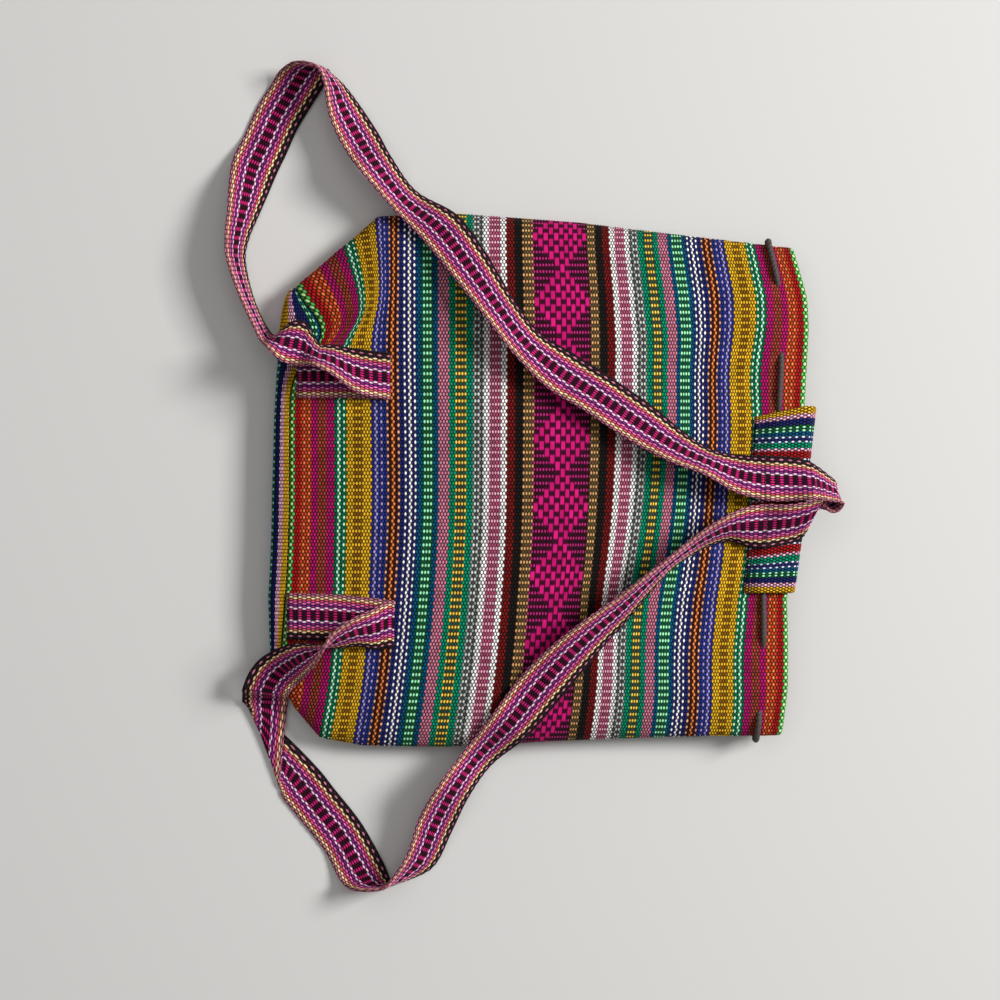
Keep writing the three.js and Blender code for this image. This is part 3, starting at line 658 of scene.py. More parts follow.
def cotton_surface(node, thread, shade, joint):
    """Dyes the thread unevenly, paints shade into the joints between the beads and gives the surface its fibre."""
    place = node("ShaderNodeTexCoord").outputs["Object"]
    fibre = node("ShaderNodeTexNoise", {"Vector": place, "Scale": 1 / (FIBRE_MM * MM), "Detail": 2.0})
    dye = node("ShaderNodeTexNoise", {"Vector": place, "Scale": 1 / (DYE_MM * MM), "Detail": 3.0})
    uneven = node("ShaderNodeMapRange", [dye, *NOISE_RANGE, *DYE_SHADES])
    fuzz = node("ShaderNodeMapRange", [fibre, *NOISE_RANGE, *FIBRE_SHADES])
    waver = node(MATH, [uneven, fuzz], "MULTIPLY")
    shaded = node(VECTOR, [thread, shade], "MULTIPLY")
    colour = node(VECTOR, {0: shaded, "Scale": waver}, "SCALE")
    height = node(MATH, [fibre, -0.25, joint], "MULTIPLY_ADD")
    bump = node("ShaderNodeBump", {"Height": height, "Strength": 0.5, "Distance": 0.3 * MM}, invert=True)
    return {"Base Color": colour, "Normal": bump, "Roughness": 0.88, "Sheen Weight": 0.02,
            "Specular IOR Level": 0.1}


# Border cotton has small beads, so that its many thin stripes stay crisp
border_cotton = woven_cotton("border_cotton", BORDER_BEAD)
# Band cotton has full beads that nearly touch, so that the strap looks dense and strong
band_cotton = woven_cotton("band_cotton", BAND_BEAD)
print("plain cotton ready")

# %% [markdown]
# ## The diamond figure
# Down the middle of the body runs a row of diamonds. The weaver floats pink threads over the dark ground in short
# tall bricks, eleven columns wide, each column half a float along from the next. A float shows where its column
# and its row together are near enough to the middle of a diamond. That is a rule, so it is worked out from the
# same end and pick numbers and not drawn.

# %% Figured cotton
FLOAT_COLUMNS, FLOAT_PICKS = 11, 2
FLOAT_ENDS = 2 * BODY_HALF[0][2] / FLOAT_COLUMNS
DIAMOND_ROWS = FLOAT_COLUMNS // 2
DIAMOND_START = 136
FLOAT_PINKS, FLOAT_GROUND = ("#b80e64", "#ce1874"), "#38071f"
FLOAT_JOINT, COLUMN_SCALE = 0.54, 3.6


def float_diamonds(node, weave, thread, shade, joint):
    place = node("ShaderNodeSeparateXYZ", [weave])
    across = node(MATH, [place.outputs["X"], (len(body_ends) - 1) / 2], "SUBTRACT")
    across = node(MATH, [across, FLOAT_ENDS], "DIVIDE")
    along = node(MATH, [place.outputs["Y"], DIAMOND_START + 0.5], "SUBTRACT")
    along = node(MATH, [along, FLOAT_PICKS], "DIVIDE")

    # The float nearest to this point: its column from the middle, and its row, odd in the even columns
    column = node(MATH, [across], "ROUND")
    odd = node(MATH, [node(MATH, [column, 1], "ADD"), 2], "FLOORED_MODULO")
    near = node(MATH, [node(MATH, [along, odd], "SUBTRACT"), 2], "DIVIDE")
    row = node(MATH, [node(MATH, [near], "ROUND"), 2, odd], "MULTIPLY_ADD")
    from_middle = node(MATH, [row, DIAMOND_ROWS], "PINGPONG")
    aside = node(MATH, [column], "ABSOLUTE")
    reach = node(MATH, [aside, from_middle], "ADD")
    shown = node(MATH, [reach, DIAMOND_ROWS + 0.5], "LESS_THAN")

    # Floats are bricks stood on end. The offsets keep the numbers positive and the odd rows in the even columns.
    lie_along = node(MATH, [along, 101], "ADD")
    lie_across = node(MATH, [across, COLUMN_SCALE, 100.5 * COLUMN_SCALE], "MULTIPLY_ADD")
    lie = node("ShaderNodeCombineXYZ", [lie_along, lie_across])
    floats = node("ShaderNodeTexBrick", {
        "Vector": lie, "Scale": 1.0, "Brick Width": 2.0, "Row Height": COLUMN_SCALE,
        "Mortar Size": FLOAT_JOINT, "Mortar Smooth": 0.55, "Bias": 0.0,
        "Color1": (*linear(FLOAT_PINKS[0]), 1), "Color2": (*linear(FLOAT_PINKS[1]), 1),
        "Mortar": (*linear(FLOAT_GROUND), 1)})
    return (node("ShaderNodeMixRGB", [shown, thread, floats]),
            node("ShaderNodeMix", {0: shown, 2: shade, 3: 1.0}),
            node("ShaderNodeMix", {0: shown, 2: joint, 3: floats.outputs["Fac"]}))


# Striped cotton has the fullest beads, and the diamonds lie on it as smooth blocks of pink
striped_cotton = woven_cotton("striped_cotton", BODY_BEAD, float_diamonds)
print("figured cotton ready")

# %% [markdown]
# ## The body
# The body is a sheet that closes on itself in the middle of the hidden front. Its picks keep one spacing over the
# whole back, as on the loom, and the front takes up what is left, so the beads do not shrink towards the base.

# %% Body sheet
BODY_COLUMNS = 120
BODY_ROWS = 150
BODY_PICKS = 249
PICK_MM = 2.175
BAND_CENTRE = 174.3
LEFT_SCALE, RIGHT_SCALE = 1.018, 0.88
# Soft ripples near the mouth: slant, length and start, then the place and reach in Y
RIPPLE_HEIGHT, RIPPLE_FROM, RIPPLE_FULL = 1.1, 205, 300
RIPPLES = [(0.35, 8.5, 0, 95, 45), (0, 11, 1, -105, 50)]
# Places where the cloth was pulled askew: how far the stripes move, then place and reach in Y and from the base
PULLS = [(3.8, 25, 62, 229, 32), (1.2, 88, 16, 232, 30), (1.3, -15, 75, 68, 30), (4.2, -125, 55, 32, 36),
         (-3.4, -92, 42, 232, 42), (-3.2, -115, 32, 288, 45), (-3.2, 68, 26, 290, 30)]
PULL_MARGIN = 20

from_centre = np.concatenate([-half_places[::-1] * LEFT_SCALE, half_places * RIGHT_SCALE])
end_places = BAND_CENTRE + PIXEL_MM * from_centre


def body_sheet():
    turn = np.linspace(-math.pi, math.pi, BODY_COLUMNS + 1)
    along = np.linspace(0, BAG_LENGTH, BODY_ROWS + 1)[:, None]
    across = np.sin(turn)[None, :]
    on_back = (np.cos(turn) >= -1e-9)[None, :]
    points = body_point(along, across, on_back, CLOTH_THICKNESS / 2)
    x, y = points[..., 0], points[..., 1]
    ripple = sum(np.sin((x + slant * y) / length + start) * bell(y - at_y, reach_y)
                 for slant, length, start, at_y, reach_y in RIPPLES)
    near_mouth = smoothstep(along, RIPPLE_FROM, RIPPLE_FULL)
    points[..., 2] += RIPPLE_HEIGHT * near_mouth * np.maximum(0, np.cos(turn))[None, :] * ripple

    # The picks are level on the back, counted from the middle line, and the front takes up the rest
    steps = np.linalg.norm(np.diff(points[..., 1:], axis=1), axis=-1)
    arc = np.concatenate([np.zeros((len(along), 1)), np.cumsum(steps, axis=1)], axis=1)
    quarter = BODY_COLUMNS // 4
    back = slice(quarter, 3 * quarter + 1)
    level = [np.interp(0, row_y[back], row_arc[back]) for row_y, row_arc in zip(y, arc)]
    s = arc - np.array(level)[:, None]
    v = 0.5 + s / (PICK_MM * (BODY_PICKS - 1))
    for low, high, border in ((0, quarter, 0.0), (BODY_COLUMNS, BODY_COLUMNS - quarter, 1.0)):
        share = (s[:, [low]] - s) / (s[:, [low]] - s[:, [high]])
        columns = slice(min(low, high), max(low, high) + 1)
        v[:, columns] = (border + (v[:, [high]] - border) * share)[:, columns]

    # The ends keep their stripes, moved aside where the cloth is pulled
    place = np.linspace(0, 1, len(end_places))
    pulled = sum(by * bell(y - at_y, reach_y) * bell(along - at, reach) for by, at_y, reach_y, at, reach in PULLS)
    pulled = pulled * rise_and_fall(along, (0, PULL_MARGIN), (BAG_LENGTH - PULL_MARGIN, BAG_LENGTH))
    u = np.interp(along - pulled, np.r_[0, end_places[1:-1], BAG_LENGTH], place)
    return grid_sheet("body_sheet", points, u, v)


body = weave_sheet(body_sheet(), body_warp, "body_cloth", striped_cotton, picks=BODY_PICKS, crown=0.42,
                   core=CLOTH_THICKNESS - 0.4, other={"Back rows": 41, "Gather": 2.0, "Closed": 1})
print("body:", len(body.data.polygons), "triangles")

# %% [markdown]
# ## The base and the flap
# Both are cut from one border cloth: yellow at its edge, then navy, mint, green and red. The base is rounded out
# from the seam. The flap is sewn down at one edge, rises over the drawstring, turns round the rim and lies under
# the front. Each is a smooth sheet through the middle of its cloth, and the same loom weaves it.

# %% Base panel
BASE_TURNS = 40
BASE_STEPS = 120
BASE_PICKS = 115


def base_sheet():
    turn = np.linspace(0, math.pi, BASE_TURNS + 1)[:, None]
    across = np.sin(np.linspace(math.pi / 2, -math.pi / 2, BASE_STEPS + 1))[None, :]
    inset = CLOTH_THICKNESS / 2
    top = body_point(0.0, across, True, inset)
    bottom = body_point(0.0, across, False, inset)
    out = np.maximum(0, base_bulge(across) - inset) * np.sin(turn) ** (2 / 3)
    rise = (top - bottom)[..., 2] / 2 * np.sign(np.cos(turn)) * np.abs(np.cos(turn)) ** (2 / 3)
    x = lerp(top[..., 0], bottom[..., 0], turn / math.pi) - CLEARANCE - out
    y, middle = top[..., 1], (top + bottom)[..., 2] / 2
    points = xyz(x, y, middle + rise)
    arc = run_along(points[:, BASE_STEPS // 2])
    v = (y[0, 0] - y) / (y[0, 0] - y[0, -1])
    return grid_sheet("base_sheet", points, (arc / arc[-1])[:, None], v)


# At the raised corner the cloth is turned over, so its first picks show other ends
base = weave_sheet(base_sheet(), base_warp, "base_cloth", border_cotton, picks=BASE_PICKS, crown=0.35,
                   core=CLOTH_THICKNESS - 0.6, other={"Turned ends": 27, "Turned picks": 20})
print("base:", len(base.data.polygons), "triangles")

# %% Flap
FLAP_PICKS = 80
FLAP_ROWS = 60
FLAP_STEPS, FLAP_FOLD_STEPS = 16, 25
FLAP_DROP_POWER = 9
# The strap pulls the flap's stripes down, and turns the lower ones askew between the sewn edge and the rim
FLAP_SINK, FLAP_PULL = 2, 4.3
SINK_RAMPS, PULL_RAMPS = [(0, 0.2), (0.82, 1)], [(0.3, 0.6), (0.72, 1)]


def flap_line(share):
    """Points down the middle of the flap's cloth at one share of its width, from the sewn edge to the hem."""
    y = lerp(FLAP_UPPER_Y, FLAP_LOWER_Y, share)
    rim, half = rim_x(y), FLAP_THICKNESS / 2
    part = np.arange(FLAP_STEPS) / FLAP_STEPS
    sewn_y = y - FLAP_SEAM_DROP * (1 - share) ** FLAP_DROP_POWER * (1 - part)
    x = lerp(flap_seam_x(sewn_y), rim_x(sewn_y), part)
    top = xyz(x, sewn_y, flap_rise(x, sewn_y) + half)
    turn = np.linspace(math.pi / 2, -math.pi / 2, FLAP_FOLD_STEPS)
    high = flap_rise(rim, y)
    reach, rise = FLAP_OVERHANG - flap_slant(y) - half, (high - FLAP_THICKNESS) / 2 + half
    fold = xyz(rim + reach * np.cos(turn), y, (high + FLAP_THICKNESS) / 2 + rise * np.sin(turn))
    under = xyz(np.linspace(rim, rim - FLAP_UNDER_LENGTH, FLAP_FOLD_STEPS)[1:], y, half)
    return np.concatenate([top, fold, under])


flap_shares = np.linspace(0, 1, FLAP_ROWS + 1)
flap_lines = np.stack([flap_line(share) for share in flap_shares])
flap_arc = run_along(flap_lines[FLAP_ROWS // 2])
flap_sink = FLAP_SINK * rise_and_fall(flap_shares, *SINK_RAMPS)
flap_pull = FLAP_PULL * rise_and_fall(flap_shares, *PULL_RAMPS)
flap_part = np.minimum(1, np.arange(len(flap_arc)) / FLAP_STEPS) - 0.5
flap_drift = flap_pull[:, None] * flap_part[None, :] - flap_sink[:, None]
flap_u = flap_shares[:, None] + flap_drift / (FLAP_UPPER_Y - FLAP_LOWER_Y)
flap_sheet = grid_sheet("flap_sheet", flap_lines, flap_u, (flap_arc / flap_arc[-1])[None, :])
flap = weave_sheet(flap_sheet, flap_warp, "flap_cloth", border_cotton, picks=FLAP_PICKS, crown=0.35,
                   core=FLAP_THICKNESS - 0.8)

# %% [markdown]
# ## The strap
# One woven band makes both shoulder loops. It is a ruled strip: at each station of its route it has a centre, a
# direction across and a roll, and it rests on whatever lies under it. A cloth simulation would lose the exact
# folds that the photograph shows, so the stations are listed one by one and a smooth line is drawn through them.

# %% Strap route
# Each station gives X and Y in hundredths of the bag's length and width, the direction in plan towards the black
# edge, the roll of that edge about the strap (negative is down), the layers of strap underneath, a free lift in
# hundredths of the strap's width, and the ruling's length in strap widths. What it leaves out has the usual value.
USUAL_STATION = (0, 0, 0, 0, 0, 0, 1)
STRAP_ROUTE = [
    (-48.6, 19.5, 90), (-39.1, 19.5, 90), (-31.1, 19.2, 90), (-29.8, 19.2, 90, 0, 0.5), (-31.1, 19.2, 90, 0, 1),
    (-36.6, 20.1, 92, -18, 1), (-41.2, 22.1, 92, -48, 1), (-44.3, 23, 85, -58, 1, 3.3),
    (-47.1, 25, 82, -15, 0, 26.7), (-50.2, 25.6, 76, -25, 0, 26.7), (-52.6, 25.9, 60, -62, 0, 10),
    (-54.8, 26.7, 42, -76), (-56.9, 30.2, 33, -80), (-59.1, 35.2, 24, -78), (-60.9, 41.6, 12, -72),
    (-60.6, 45.9, 4, -64), (-59.7, 49.4, -3, -55), (-58.5, 54.7, -12, -36), (-57.5, 59, -20, -12),
    (-55.4, 63.4, -24), (-52.9, 68.6, -28), (-50.2, 72.7, -25, 0, 0, 3.3), (-48, 75.7, -18, -12, 0, 6.7),
    (-45.8, 77.6, -6, -45, 0, 3.3), (-43.7, 76.9, 6, -78), (-41.5, 74.1, 18, -68),
    (-39.4, 69.2, 31, -45, 0, 10), (-36, 63.4, 31, -35, 0, 26.7), (-32.9, 58.7, 33, -42, 0, 46.7),
    (-27.4, 52.3, 46, -48, 0, 20), (-20.3, 46.8, 42, -22, 0, 6.7), (-15.1, 40.4, 37, -25, 0, 3.3),
    (-8.6, 31.4, 37, -42), (-3.4, 25, 43, -42), (3.1, 20.1, 54, -20), (10.5, 15.7, 55, -22),
    (19.1, 10.2, 56, -25), (26.2, 5.8, 60, -44), (32, 3.2, 64, -54), (37.8, 1.2, 74, -35), (43.1, 0.3, 88, -18),
    (48, 0.1, 90, -20), (51.4, -0.1, 90, -33), (53.8, -0.7, 88, -46, 0, 100), (56, -1.6, 86, -56, 0, 73.3),
    (57.5, -2.3, 80, -65, 0, 53.3), (58, -3.8, 125, -78, 0, 36.7), (56.6, -4.9, 112, -74, 0, 26.7),
    (54.5, -5.1, 160, -78, 0, 30), (53.1, -5.8, -118, -52, 0, 56.7), (51.5, -7, -105, -36),
    (49.5, -7.8, -95, -33), (46.5, -8.3, -93, -30), (42.8, -8.6, -92, -18), (39.1, -8.7, -86, -33),
    (35.7, -9, -72, -56), (30.8, -11, -58, -68), (24.6, -15.1, -50, -74), (19.1, -19.8, -49, -66),
    (14.8, -23.8, -46, -55), (9.5, -28.2, -43, -42), (4, -33.4, -41, -25), (-1.2, -39, -38, -12),
    (-6.5, -45.3, -40, -24, 0, 3.3), (-12.6, -51.5, -43, -46, 0, 20), (-17.5, -57.6, -33, -44, 0, 46.7),
    (-21.2, -64.2, -27, -38, 0, 23.3), (-24.3, -71.2, -30, -48, 0, 3.3), (-28.3, -74.7, -18, -68),
    (-31.1, -76, -5, -80), (-33.8, -75.9, 10, -42, 0, 3.3), (-36, -73.8, 25, -10, 0, 3.3), (-40, -67.2, 38),
    (-45.2, -61, 39), (-48.6, -57, 42), (-52, -53.2, 86, 0, 0, 0, 1.2), (-55.4, -50, 111, 0, 0.5, 0, 1.75),
    (-55.4, -45.6, 134, 0, 1, 0, 1.15), (-55.4, -41.6, 178, 0, 1), (-54.2, -38.1, 162, -4, 1, 3.3),
    (-52, -35.5, 146, -14, 0, 13.3), (-47.4, -32.8, 125, -45, 0, 16.7), (-43.7, -31.4, 122, -78, 0, 6.7),
    (-40.6, -29.7, -62, -70, 0, 6.7), (-36.9, -28.2, -74, -52, 1), (-33.2, -27.6, -86, -28, 1),
    (-30.5, -26.7, -90, -4, 1), (-28.9, -26.7, -90, 0, 0.5), (-30.5, -26.5, -90), (-40, -25.6, -90),
    (-50.5, -25.3, -90),
]


def strap_half(heading, roll, span):
    """The way from the strap's middle to its black edge."""
    across = xyz(np.cos(heading) * np.cos(roll), np.sin(heading) * np.cos(roll), np.sin(roll))
    return across * STRAP_WIDTH / 2 * span[:, None]


def rest_height(x, y, half):
    """The lowest centre height at which a strap with this half-width clears what is under it."""
    a, b, c = np.moveaxis(half, -1, 0)
    heights = [ground(x + f * a, y + f * b) - f * c for f in (-1, -0.5, 0, 0.5, 1)]
    return np.max(heights, axis=0) + 2 * CLEARANCE + STRAP_THICKNESS / 2


def route_times(points, ease=0):
    """A clock for a smooth line. Long steps pass faster than short ones, so that tight folds stay tight."""
    return np.r_[0, np.cumsum(np.sqrt(np.diff(run_along(points)) + ease))]


def smooth_through(values, times, at):
    """Values at given times on a smooth line whose slope at each station is that across its neighbours."""
    padded = np.concatenate([values[:1], values, values[-1:]])
    clock = np.r_[times[0] - 1, times, times[-1] + 1]
    slope = (padded[2:] - padded[:-2]) / (clock[2:] - clock[:-2])[:, None]
    i = np.clip(np.searchsorted(times, at, side="right") - 1, 0, len(times) - 2)
    step = (times[i + 1] - times[i])[:, None]
    s = ((at - times[i]) / (times[i + 1] - times[i]))[:, None]
    return ((2 * s**3 - 3 * s**2 + 1) * values[i] + (s**3 - 2 * s**2 + s) * step * slope[i]
            + (3 * s**2 - 2 * s**3) * values[i + 1] + (s**3 - s**2) * step * slope[i + 1])


print(len(STRAP_ROUTE), "stations in the strap's route")

# %% Strap band
STRAP_STEPS = 8
STRAP_ACROSS = 8
STRAP_PICK_MM = 2.9
# Millimetres added to every step of the route, so that none has no time at all
FOLD_EASE = 1


def strap_strip():
    stations = np.array([station + USUAL_STATION[len(station):] for station in STRAP_ROUTE])
    x, y, heading, roll, layers, lift, span = stations.T
    x, y = x * (BAG_LENGTH / 100), y * (BAG_WIDTH / 100)
    half = strap_half(np.radians(heading), np.radians(roll), span)
    stack = layers * (STRAP_THICKNESS + STRAP_LAYER_GAP)
    centre = xyz(x, y, rest_height(x, y, half) + stack + lift * (STRAP_WIDTH / 100))
    times = route_times(centre, FOLD_EASE)
    steps = np.arange((len(times) - 1) * STRAP_STEPS + 1) / STRAP_STEPS
    at = np.interp(steps, np.arange(len(times)), times)
    line, across = smooth_through(centre, times, at), smooth_through(half, times, at)
    lowest = rest_height(line[:, 0], line[:, 1], across) + np.interp(at, times, stack)
    line[:, 2] = np.maximum(line[:, 2], lowest)
    return line, across


strap_line, strap_across = strap_strip()
strap_run = run_along(strap_line)
STRAP_LENGTH = strap_run[-1]
edge_shares = np.linspace(1, -1, STRAP_ACROSS + 1)
strap_points = strap_line[None] + edge_shares[:, None, None] * strap_across[None]
strap_u, strap_v = ((1 - edge_shares) / 2)[:, None], (strap_run / STRAP_LENGTH)[None, :]
strap_sheet = grid_sheet("strap_sheet", strap_points, strap_u, strap_v)
STRAP_PICKS = round(STRAP_LENGTH / STRAP_PICK_MM)
strap = weave_sheet(strap_sheet, strap_warp, "strap_band", band_cotton, picks=STRAP_PICKS, crown=0.4,
                    core=STRAP_THICKNESS - 0.8)
print(f"strap: {STRAP_LENGTH:.0f} mm long, {len(strap.data.polygons)} triangles")

# %% [markdown]
# ## The drawstring
# A laid cord of three strands runs in and out through slits below the rim and ends in two knots on the front.
# Its section is a three-lobed curve, and a node tree sweeps that along the route while the tilt turns it, which is
# what a real lay does. The knots are short, fat turns of the same cord.

# %% Drawstring route
BACK_SLITS = [125, 81, 44, 6, -31, -69, -107, -148]
FRONT_SLITS = [-125, -85, -48, -14, 14, 48, 85, 125]
SLIT_RUN = 7
CORD_TAIL_LENGTH, CORD_TAIL_Y = 52, 6
CORD_ALONG = BAG_LENGTH - CORD_FROM_RIM
CORD_TURN = math.pi / 64
CORD_STEPS = 700
SLOPE_STEP = 0.01


def cord_points(across, on_back):
    def cloth(share):
        return body_point(CORD_ALONG, np.clip(share, -1, 1), on_back, CLOTH_THICKNESS / 2)

    at, step = cloth(across), cloth(across + SLOPE_STEP) - cloth(across - SLOPE_STEP)
    normal = xyz(0, -step[:, 2], step[:, 1])
    normal *= (1 if on_back else -1) / np.linalg.norm(normal, axis=1, keepdims=True)
    side = np.ones(len(across))
    for slit in BACK_SLITS if on_back else FRONT_SLITS:
        side *= 1 - 2 * smoothstep(at[:, 1], slit - SLIT_RUN, slit + SLIT_RUN)
    return at + normal * (side * (CLOTH_THICKNESS / 2 + CORD_RADIUS + CORD_SLACK))[:, None]


def cord_tail(side, start):
    z = FLAP_THICKNESS + CLEARANCE + CORD_RADIUS
    lie = ((CORD_TAIL_LENGTH, 1), (CORD_TAIL_LENGTH / 2, 2), (CORD_TAIL_LENGTH / 4, 0))
    return np.array([(start[0] - back, start[1] + side * out, z) for back, out in lie])


def cord_route():
    def turns(low, high):
        return np.sin(np.linspace(low, high, math.ceil(abs(high - low) / CORD_TURN) + 1))

    def tail_turn(y):
        return np.arcsin(place_on_bag(BASE_X + CORD_ALONG + stripe_shift(CORD_ALONG, y), y)[1])

    upper = cord_points(turns(tail_turn(CORD_TAIL_Y), math.pi / 2)[:-1], False)
    back = cord_points(turns(math.pi / 2, -math.pi / 2), True)
    lower = cord_points(turns(-math.pi / 2, tail_turn(-CORD_TAIL_Y))[1:], False)
    return np.concatenate([cord_tail(1, upper[0]), upper, back, lower, cord_tail(-1, lower[-1])[::-1]])


cord_line = cord_route()
clock = route_times(cord_line)
cord_line = smooth_through(cord_line, clock, np.linspace(0, clock[-1], CORD_STEPS))

# %% Laid cord tree
CORD_LAY_MM = 9
CORD_LOBES = 3
# How far the section reaches out between the strands and on them, in cord diameters
CORD_REACH = (0.4, 0.52)


def build_laid_cord():
    inputs = {"Route": "Geometry", "Diameter": "Float", "Lay": "Float", "Material": "Material"}
    tree, node, given = new_tree("laid_cord", inputs, "Cord")
    route = node("GeometryNodeMeshToCurve", [given["Route"]])
    run = node("GeometryNodeSplineParameter").outputs["Length"]
    turns = node(MATH, [run, given["Lay"]], "DIVIDE")
    angle = node(MATH, [turns, math.tau], "MULTIPLY")
    tilted = node("GeometryNodeSetCurveTilt", {"Curve": route, "Tilt": angle})

    # The section: a ring pulled in three times round, where the strands meet
    ring = node("GeometryNodeCurvePrimitiveCircle", {"Resolution": 12, "Radius": 1.0})
    at = node("GeometryNodeInputPosition")
    part = node("GeometryNodeSplineParameter").outputs["Factor"]
    wave = node(MATH, [part, math.tau * CORD_LOBES], "MULTIPLY")
    lobe = node(MATH, [wave], "COSINE")
    size = node("ShaderNodeMapRange", [lobe, -1.0, 1.0, *CORD_REACH])
    radius = node(MATH, [size, given["Diameter"]], "MULTIPLY")
    pulled = node(VECTOR, {0: at, "Scale": radius}, "SCALE")
    section = node("GeometryNodeSetPosition", {"Geometry": ring, "Position": pulled})
    swept = node("GeometryNodeCurveToMesh", {0: tilted, 1: section, "Fill Caps": True})
    end_tree(node, swept, given["Material"])
    return tree


def line_object(name, points):
    mesh = bpy.data.meshes.new(name)
    mesh.from_pydata((points * MM).tolist(), [(k, k + 1) for k in range(len(points) - 1)], [])
    return show(mesh, name)


laid_cord = build_laid_cord()
print(len(laid_cord.nodes), "nodes in the cord tree")

# %% Twisted cord finish
# Drawn coarser than real fibre, as on the cloth
CORD_FIBRE_MM = 0.6


def twisted_cord(name, light, dark):
    """Hard-twisted cotton cord: dark, a little shiny on the strands, with paler loose fibres."""
    material, node, set_surface = new_material(name)
    place = node("ShaderNodeTexCoord").outputs["Object"]
    fibre = node("ShaderNodeTexNoise", {"Vector": place, "Scale": 1 / (CORD_FIBRE_MM * MM), "Detail": 3.0})
    colour = node("ShaderNodeMixRGB", [fibre, (*linear(dark), 1), (*linear(light), 1)])
    bump = node("ShaderNodeBump", {"Height": fibre, "Strength": 0.5, "Distance": 0.2 * MM})
    set_surface({"Base Color": colour, "Normal": bump, "Roughness": 0.75})
    return material


# Charcoal cord is dark with paler strands, so that its lay can be seen
charcoal_cord = twisted_cord("charcoal_cord", "#5a5048", "#1c1814")
drawstring = run_tree(line_object("cord_route", cord_line), laid_cord, {
    "Diameter": CORD_DIAMETER * MM, "Lay": CORD_LAY_MM * MM, "Material": charcoal_cord}, "drawstring_cord")
print("drawstring:", len(drawstring.data.polygons), "faces")

# %% Knots at the ends of the drawstring
KNOT_CORD = CORD_DIAMETER * 0.8
KNOT_STEPS = 40


def knot_line(end):
    """A short trefoil turn, as an overhand knot pulled up on the cord."""
    t = np.linspace(0, math.tau, KNOT_STEPS)
    size = (KNOT_DIAMETER - KNOT_CORD) / 6
    turn = xyz(np.sin(t) + 2 * np.sin(2 * t), np.cos(t) - 2 * np.cos(2 * t), -1.2 * np.sin(3 * t))
    z = FLAP_THICKNESS + CLEARANCE + KNOT_DIAMETER / 2
    return turn * size + (end[0] - KNOT_DIAMETER / 3, end[1], z)


knots = [
    run_tree(line_object("knot_route", knot_line(end)), laid_cord, {
        "Diameter": KNOT_CORD * MM, "Lay": CORD_LAY_MM * MM, "Material": charcoal_cord}, f"knot_{k}")
    for k, end in enumerate((cord_line[0], cord_line[-1]))
]
print(len(knots), "knots")

# %% [markdown]
# ## Stitches
# Machine stitches hold the flap to the back and the strap to the flap and to the base seam. A stitch is the same
# small bead of thread repeated along a line, so a node tree lays them out from a line and a spacing.

# %% Stitch tree
STITCH_SPACING, STITCH_LENGTH, STITCH_THREAD = 3.2, 2.6, 0.7


def build_stitches():
    inputs = {"Line": "Geometry", "Spacing": "Float", "Length": "Float", "Thread": "Float", "Material": "Material"}
    tree, node, given = new_tree("stitches", inputs, "Stitches")
    line = node("GeometryNodeMeshToCurve", [given["Line"]])
    spots = node("GeometryNodeCurveToPoints", {0: line, "Length": given["Spacing"]}, mode="LENGTH")
    bead = node("GeometryNodeMeshUVSphere", {"Segments": 8, "Rings": 6, "Radius": 0.5})
    size = node("ShaderNodeCombineXYZ", [given["Thread"], given["Thread"], given["Length"]])
    laid = node("GeometryNodeInstanceOnPoints", {
        "Points": spots.outputs["Points"], "Instance": bead, "Rotation": spots.outputs["Rotation"], "Scale": size})
    end_tree(node, laid, given["Material"])
    return tree


stitches = build_stitches()
# Sewing thread is nearly black, so that a row reads as a thin broken line
sewing_thread = twisted_cord("sewing_thread", "#3c2c34", "#120c10")
print(len(stitches.nodes), "nodes in the stitch tree")

# %% Rows of stitches
STITCH_LIFT, ROW_SHARE, ROW_POINTS = 0.2, 0.9, 7
SEAM_INSET, SEAM_MARGIN, SEAM_LIFT, SEAM_POINTS = 3, 2, 0.1, 40
# Rows across the strap: the place in X, and the stretch of the strap to look for it in
STRAP_ROWS = [(141, 0.4, 0.52), (141, 0.52, 0.62), (-155, 0, 0.05), (-157, 0.95, 1)]


def sew(name, points):
    return run_tree(line_object("seam_line", points), stitches, {
        "Spacing": STITCH_SPACING * MM, "Length": STITCH_LENGTH * MM, "Thread": STITCH_THREAD * MM,
        "Material": sewing_thread}, name)


def strap_row(at_x, first, last):
    """A row of stitches across the strap where its line passes a place along the bag."""
    span = range(int(first * len(strap_line)), int(last * len(strap_line)))
    i = min(span, key=lambda k: abs(strap_line[k, 0] - at_x))
    across = strap_across[i] * np.linspace(-ROW_SHARE, ROW_SHARE, ROW_POINTS)[:, None]
    tangent = strap_line[i + 1] - strap_line[i - 1]
    normal = np.cross(tangent, strap_across[i])
    normal *= math.copysign(1, normal[2]) / np.linalg.norm(normal)
    return strap_line[i] + across + normal * (STRAP_THICKNESS / 2 + STITCH_LIFT)


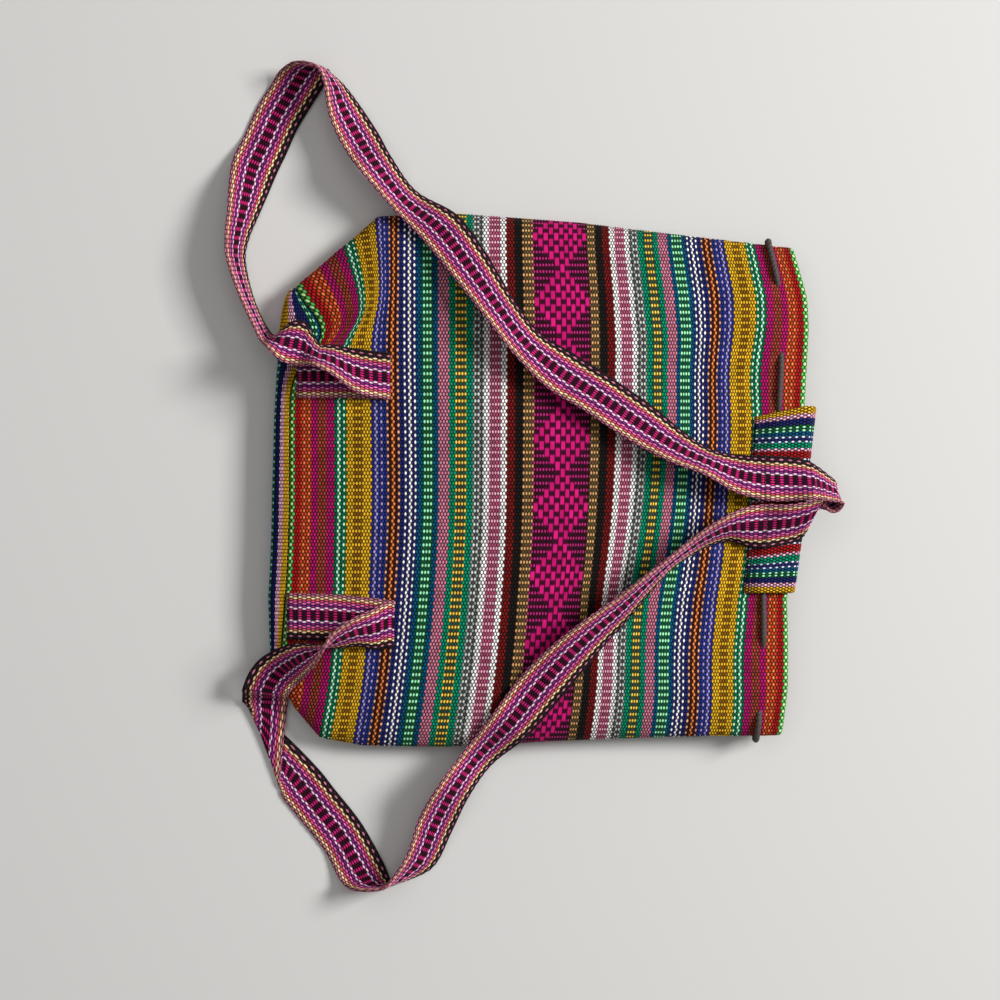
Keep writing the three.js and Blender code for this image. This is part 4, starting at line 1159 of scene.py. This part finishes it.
flap_y = np.linspace(FLAP_UPPER_Y - FLAP_SEAM_DROP - SEAM_MARGIN, FLAP_LOWER_Y + SEAM_MARGIN, SEAM_POINTS)
flap_x = flap_seam_x(flap_y) + SEAM_INSET
flap_seam = xyz(flap_x, flap_y, flap_rise(flap_x, flap_y) + FLAP_THICKNESS + SEAM_LIFT)
sewn = [sew("flap_stitches", flap_seam)]
sewn += [sew(f"strap_stitches_{k}", strap_row(*row)) for k, row in enumerate(STRAP_ROWS)]
print(len(sewn), "rows of stitches")

# %% [markdown]
# ## Floor and light
# The floor is a plain pale sheet. A large soft lamp stands on the mouth side, as in the photograph, where the
# shadows fall towards the base. A dim even sky fills the shadows.

# %% Floor, lamps and sky
floor_mesh = bpy.data.meshes.new("floor")
floor_corners = [(-3, -3, 0), (3, -3, 0), (3, 3, 0), (-3, 3, 0)]
floor_mesh.from_pydata(floor_corners, [], [(0, 1, 2, 3)])
floor = show(floor_mesh, "floor")
# The pale floor is matt and nearly neutral, so that it takes soft shadows and lends no colour
floor_material, _, set_surface = new_material("pale_floor")
set_surface({"Base Color": (*linear("#c9c8c5"), 1), "Roughness": 0.9})
floor_mesh.materials.append(floor_material)


def lamp(name, place, energy, size):
    """A square lamp that looks at the middle of the bag."""
    data = bpy.data.lights.new(name, "AREA")
    data.energy, data.size = energy, size
    made = bpy.data.objects.new(name, data)
    x, y, z = place
    made.location = place
    made.rotation_euler = (math.atan2(math.hypot(x, y), z), 0, math.atan2(-y, -x) - math.pi / 2)
    bpy.context.scene.collection.objects.link(made)


lamp("mouth_side_lamp", (2.2, 0.7, 2.0), energy=108, size=1.0)
lamp("overhead_lamp", (-0.2, 0.3, 2.2), energy=13, size=2.0)
sky = bpy.data.worlds.new("sky")
sky.use_nodes = True
background = sky.node_tree.nodes["Background"]
fill_inputs(sky.node_tree, background, {"Color": (*linear("#d8d8da"), 1), "Strength": 0.34})
bpy.context.scene.world = sky
print("lit")

# %% [markdown]
# ## Joining the frame
# Each piece rides on the one body and stands in for its solid.

# %% Join the frame
for made in (body_warp, strap_warp, base_warp, flap_warp):
    bpy.data.objects.remove(made)
for piece, node, slot in ((body, "body_panel", "striped_cloth"), (base, "base_panel", "border_cloth"),
                          (flap, "flap", "border_cloth"), (strap, "shoulder_strap", "strap_webbing"),
                          (drawstring, "drawstring", "cord")):
    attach(piece, "root")
    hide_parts(node)
for piece in (*knots, *sewn):
    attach(piece, "root")
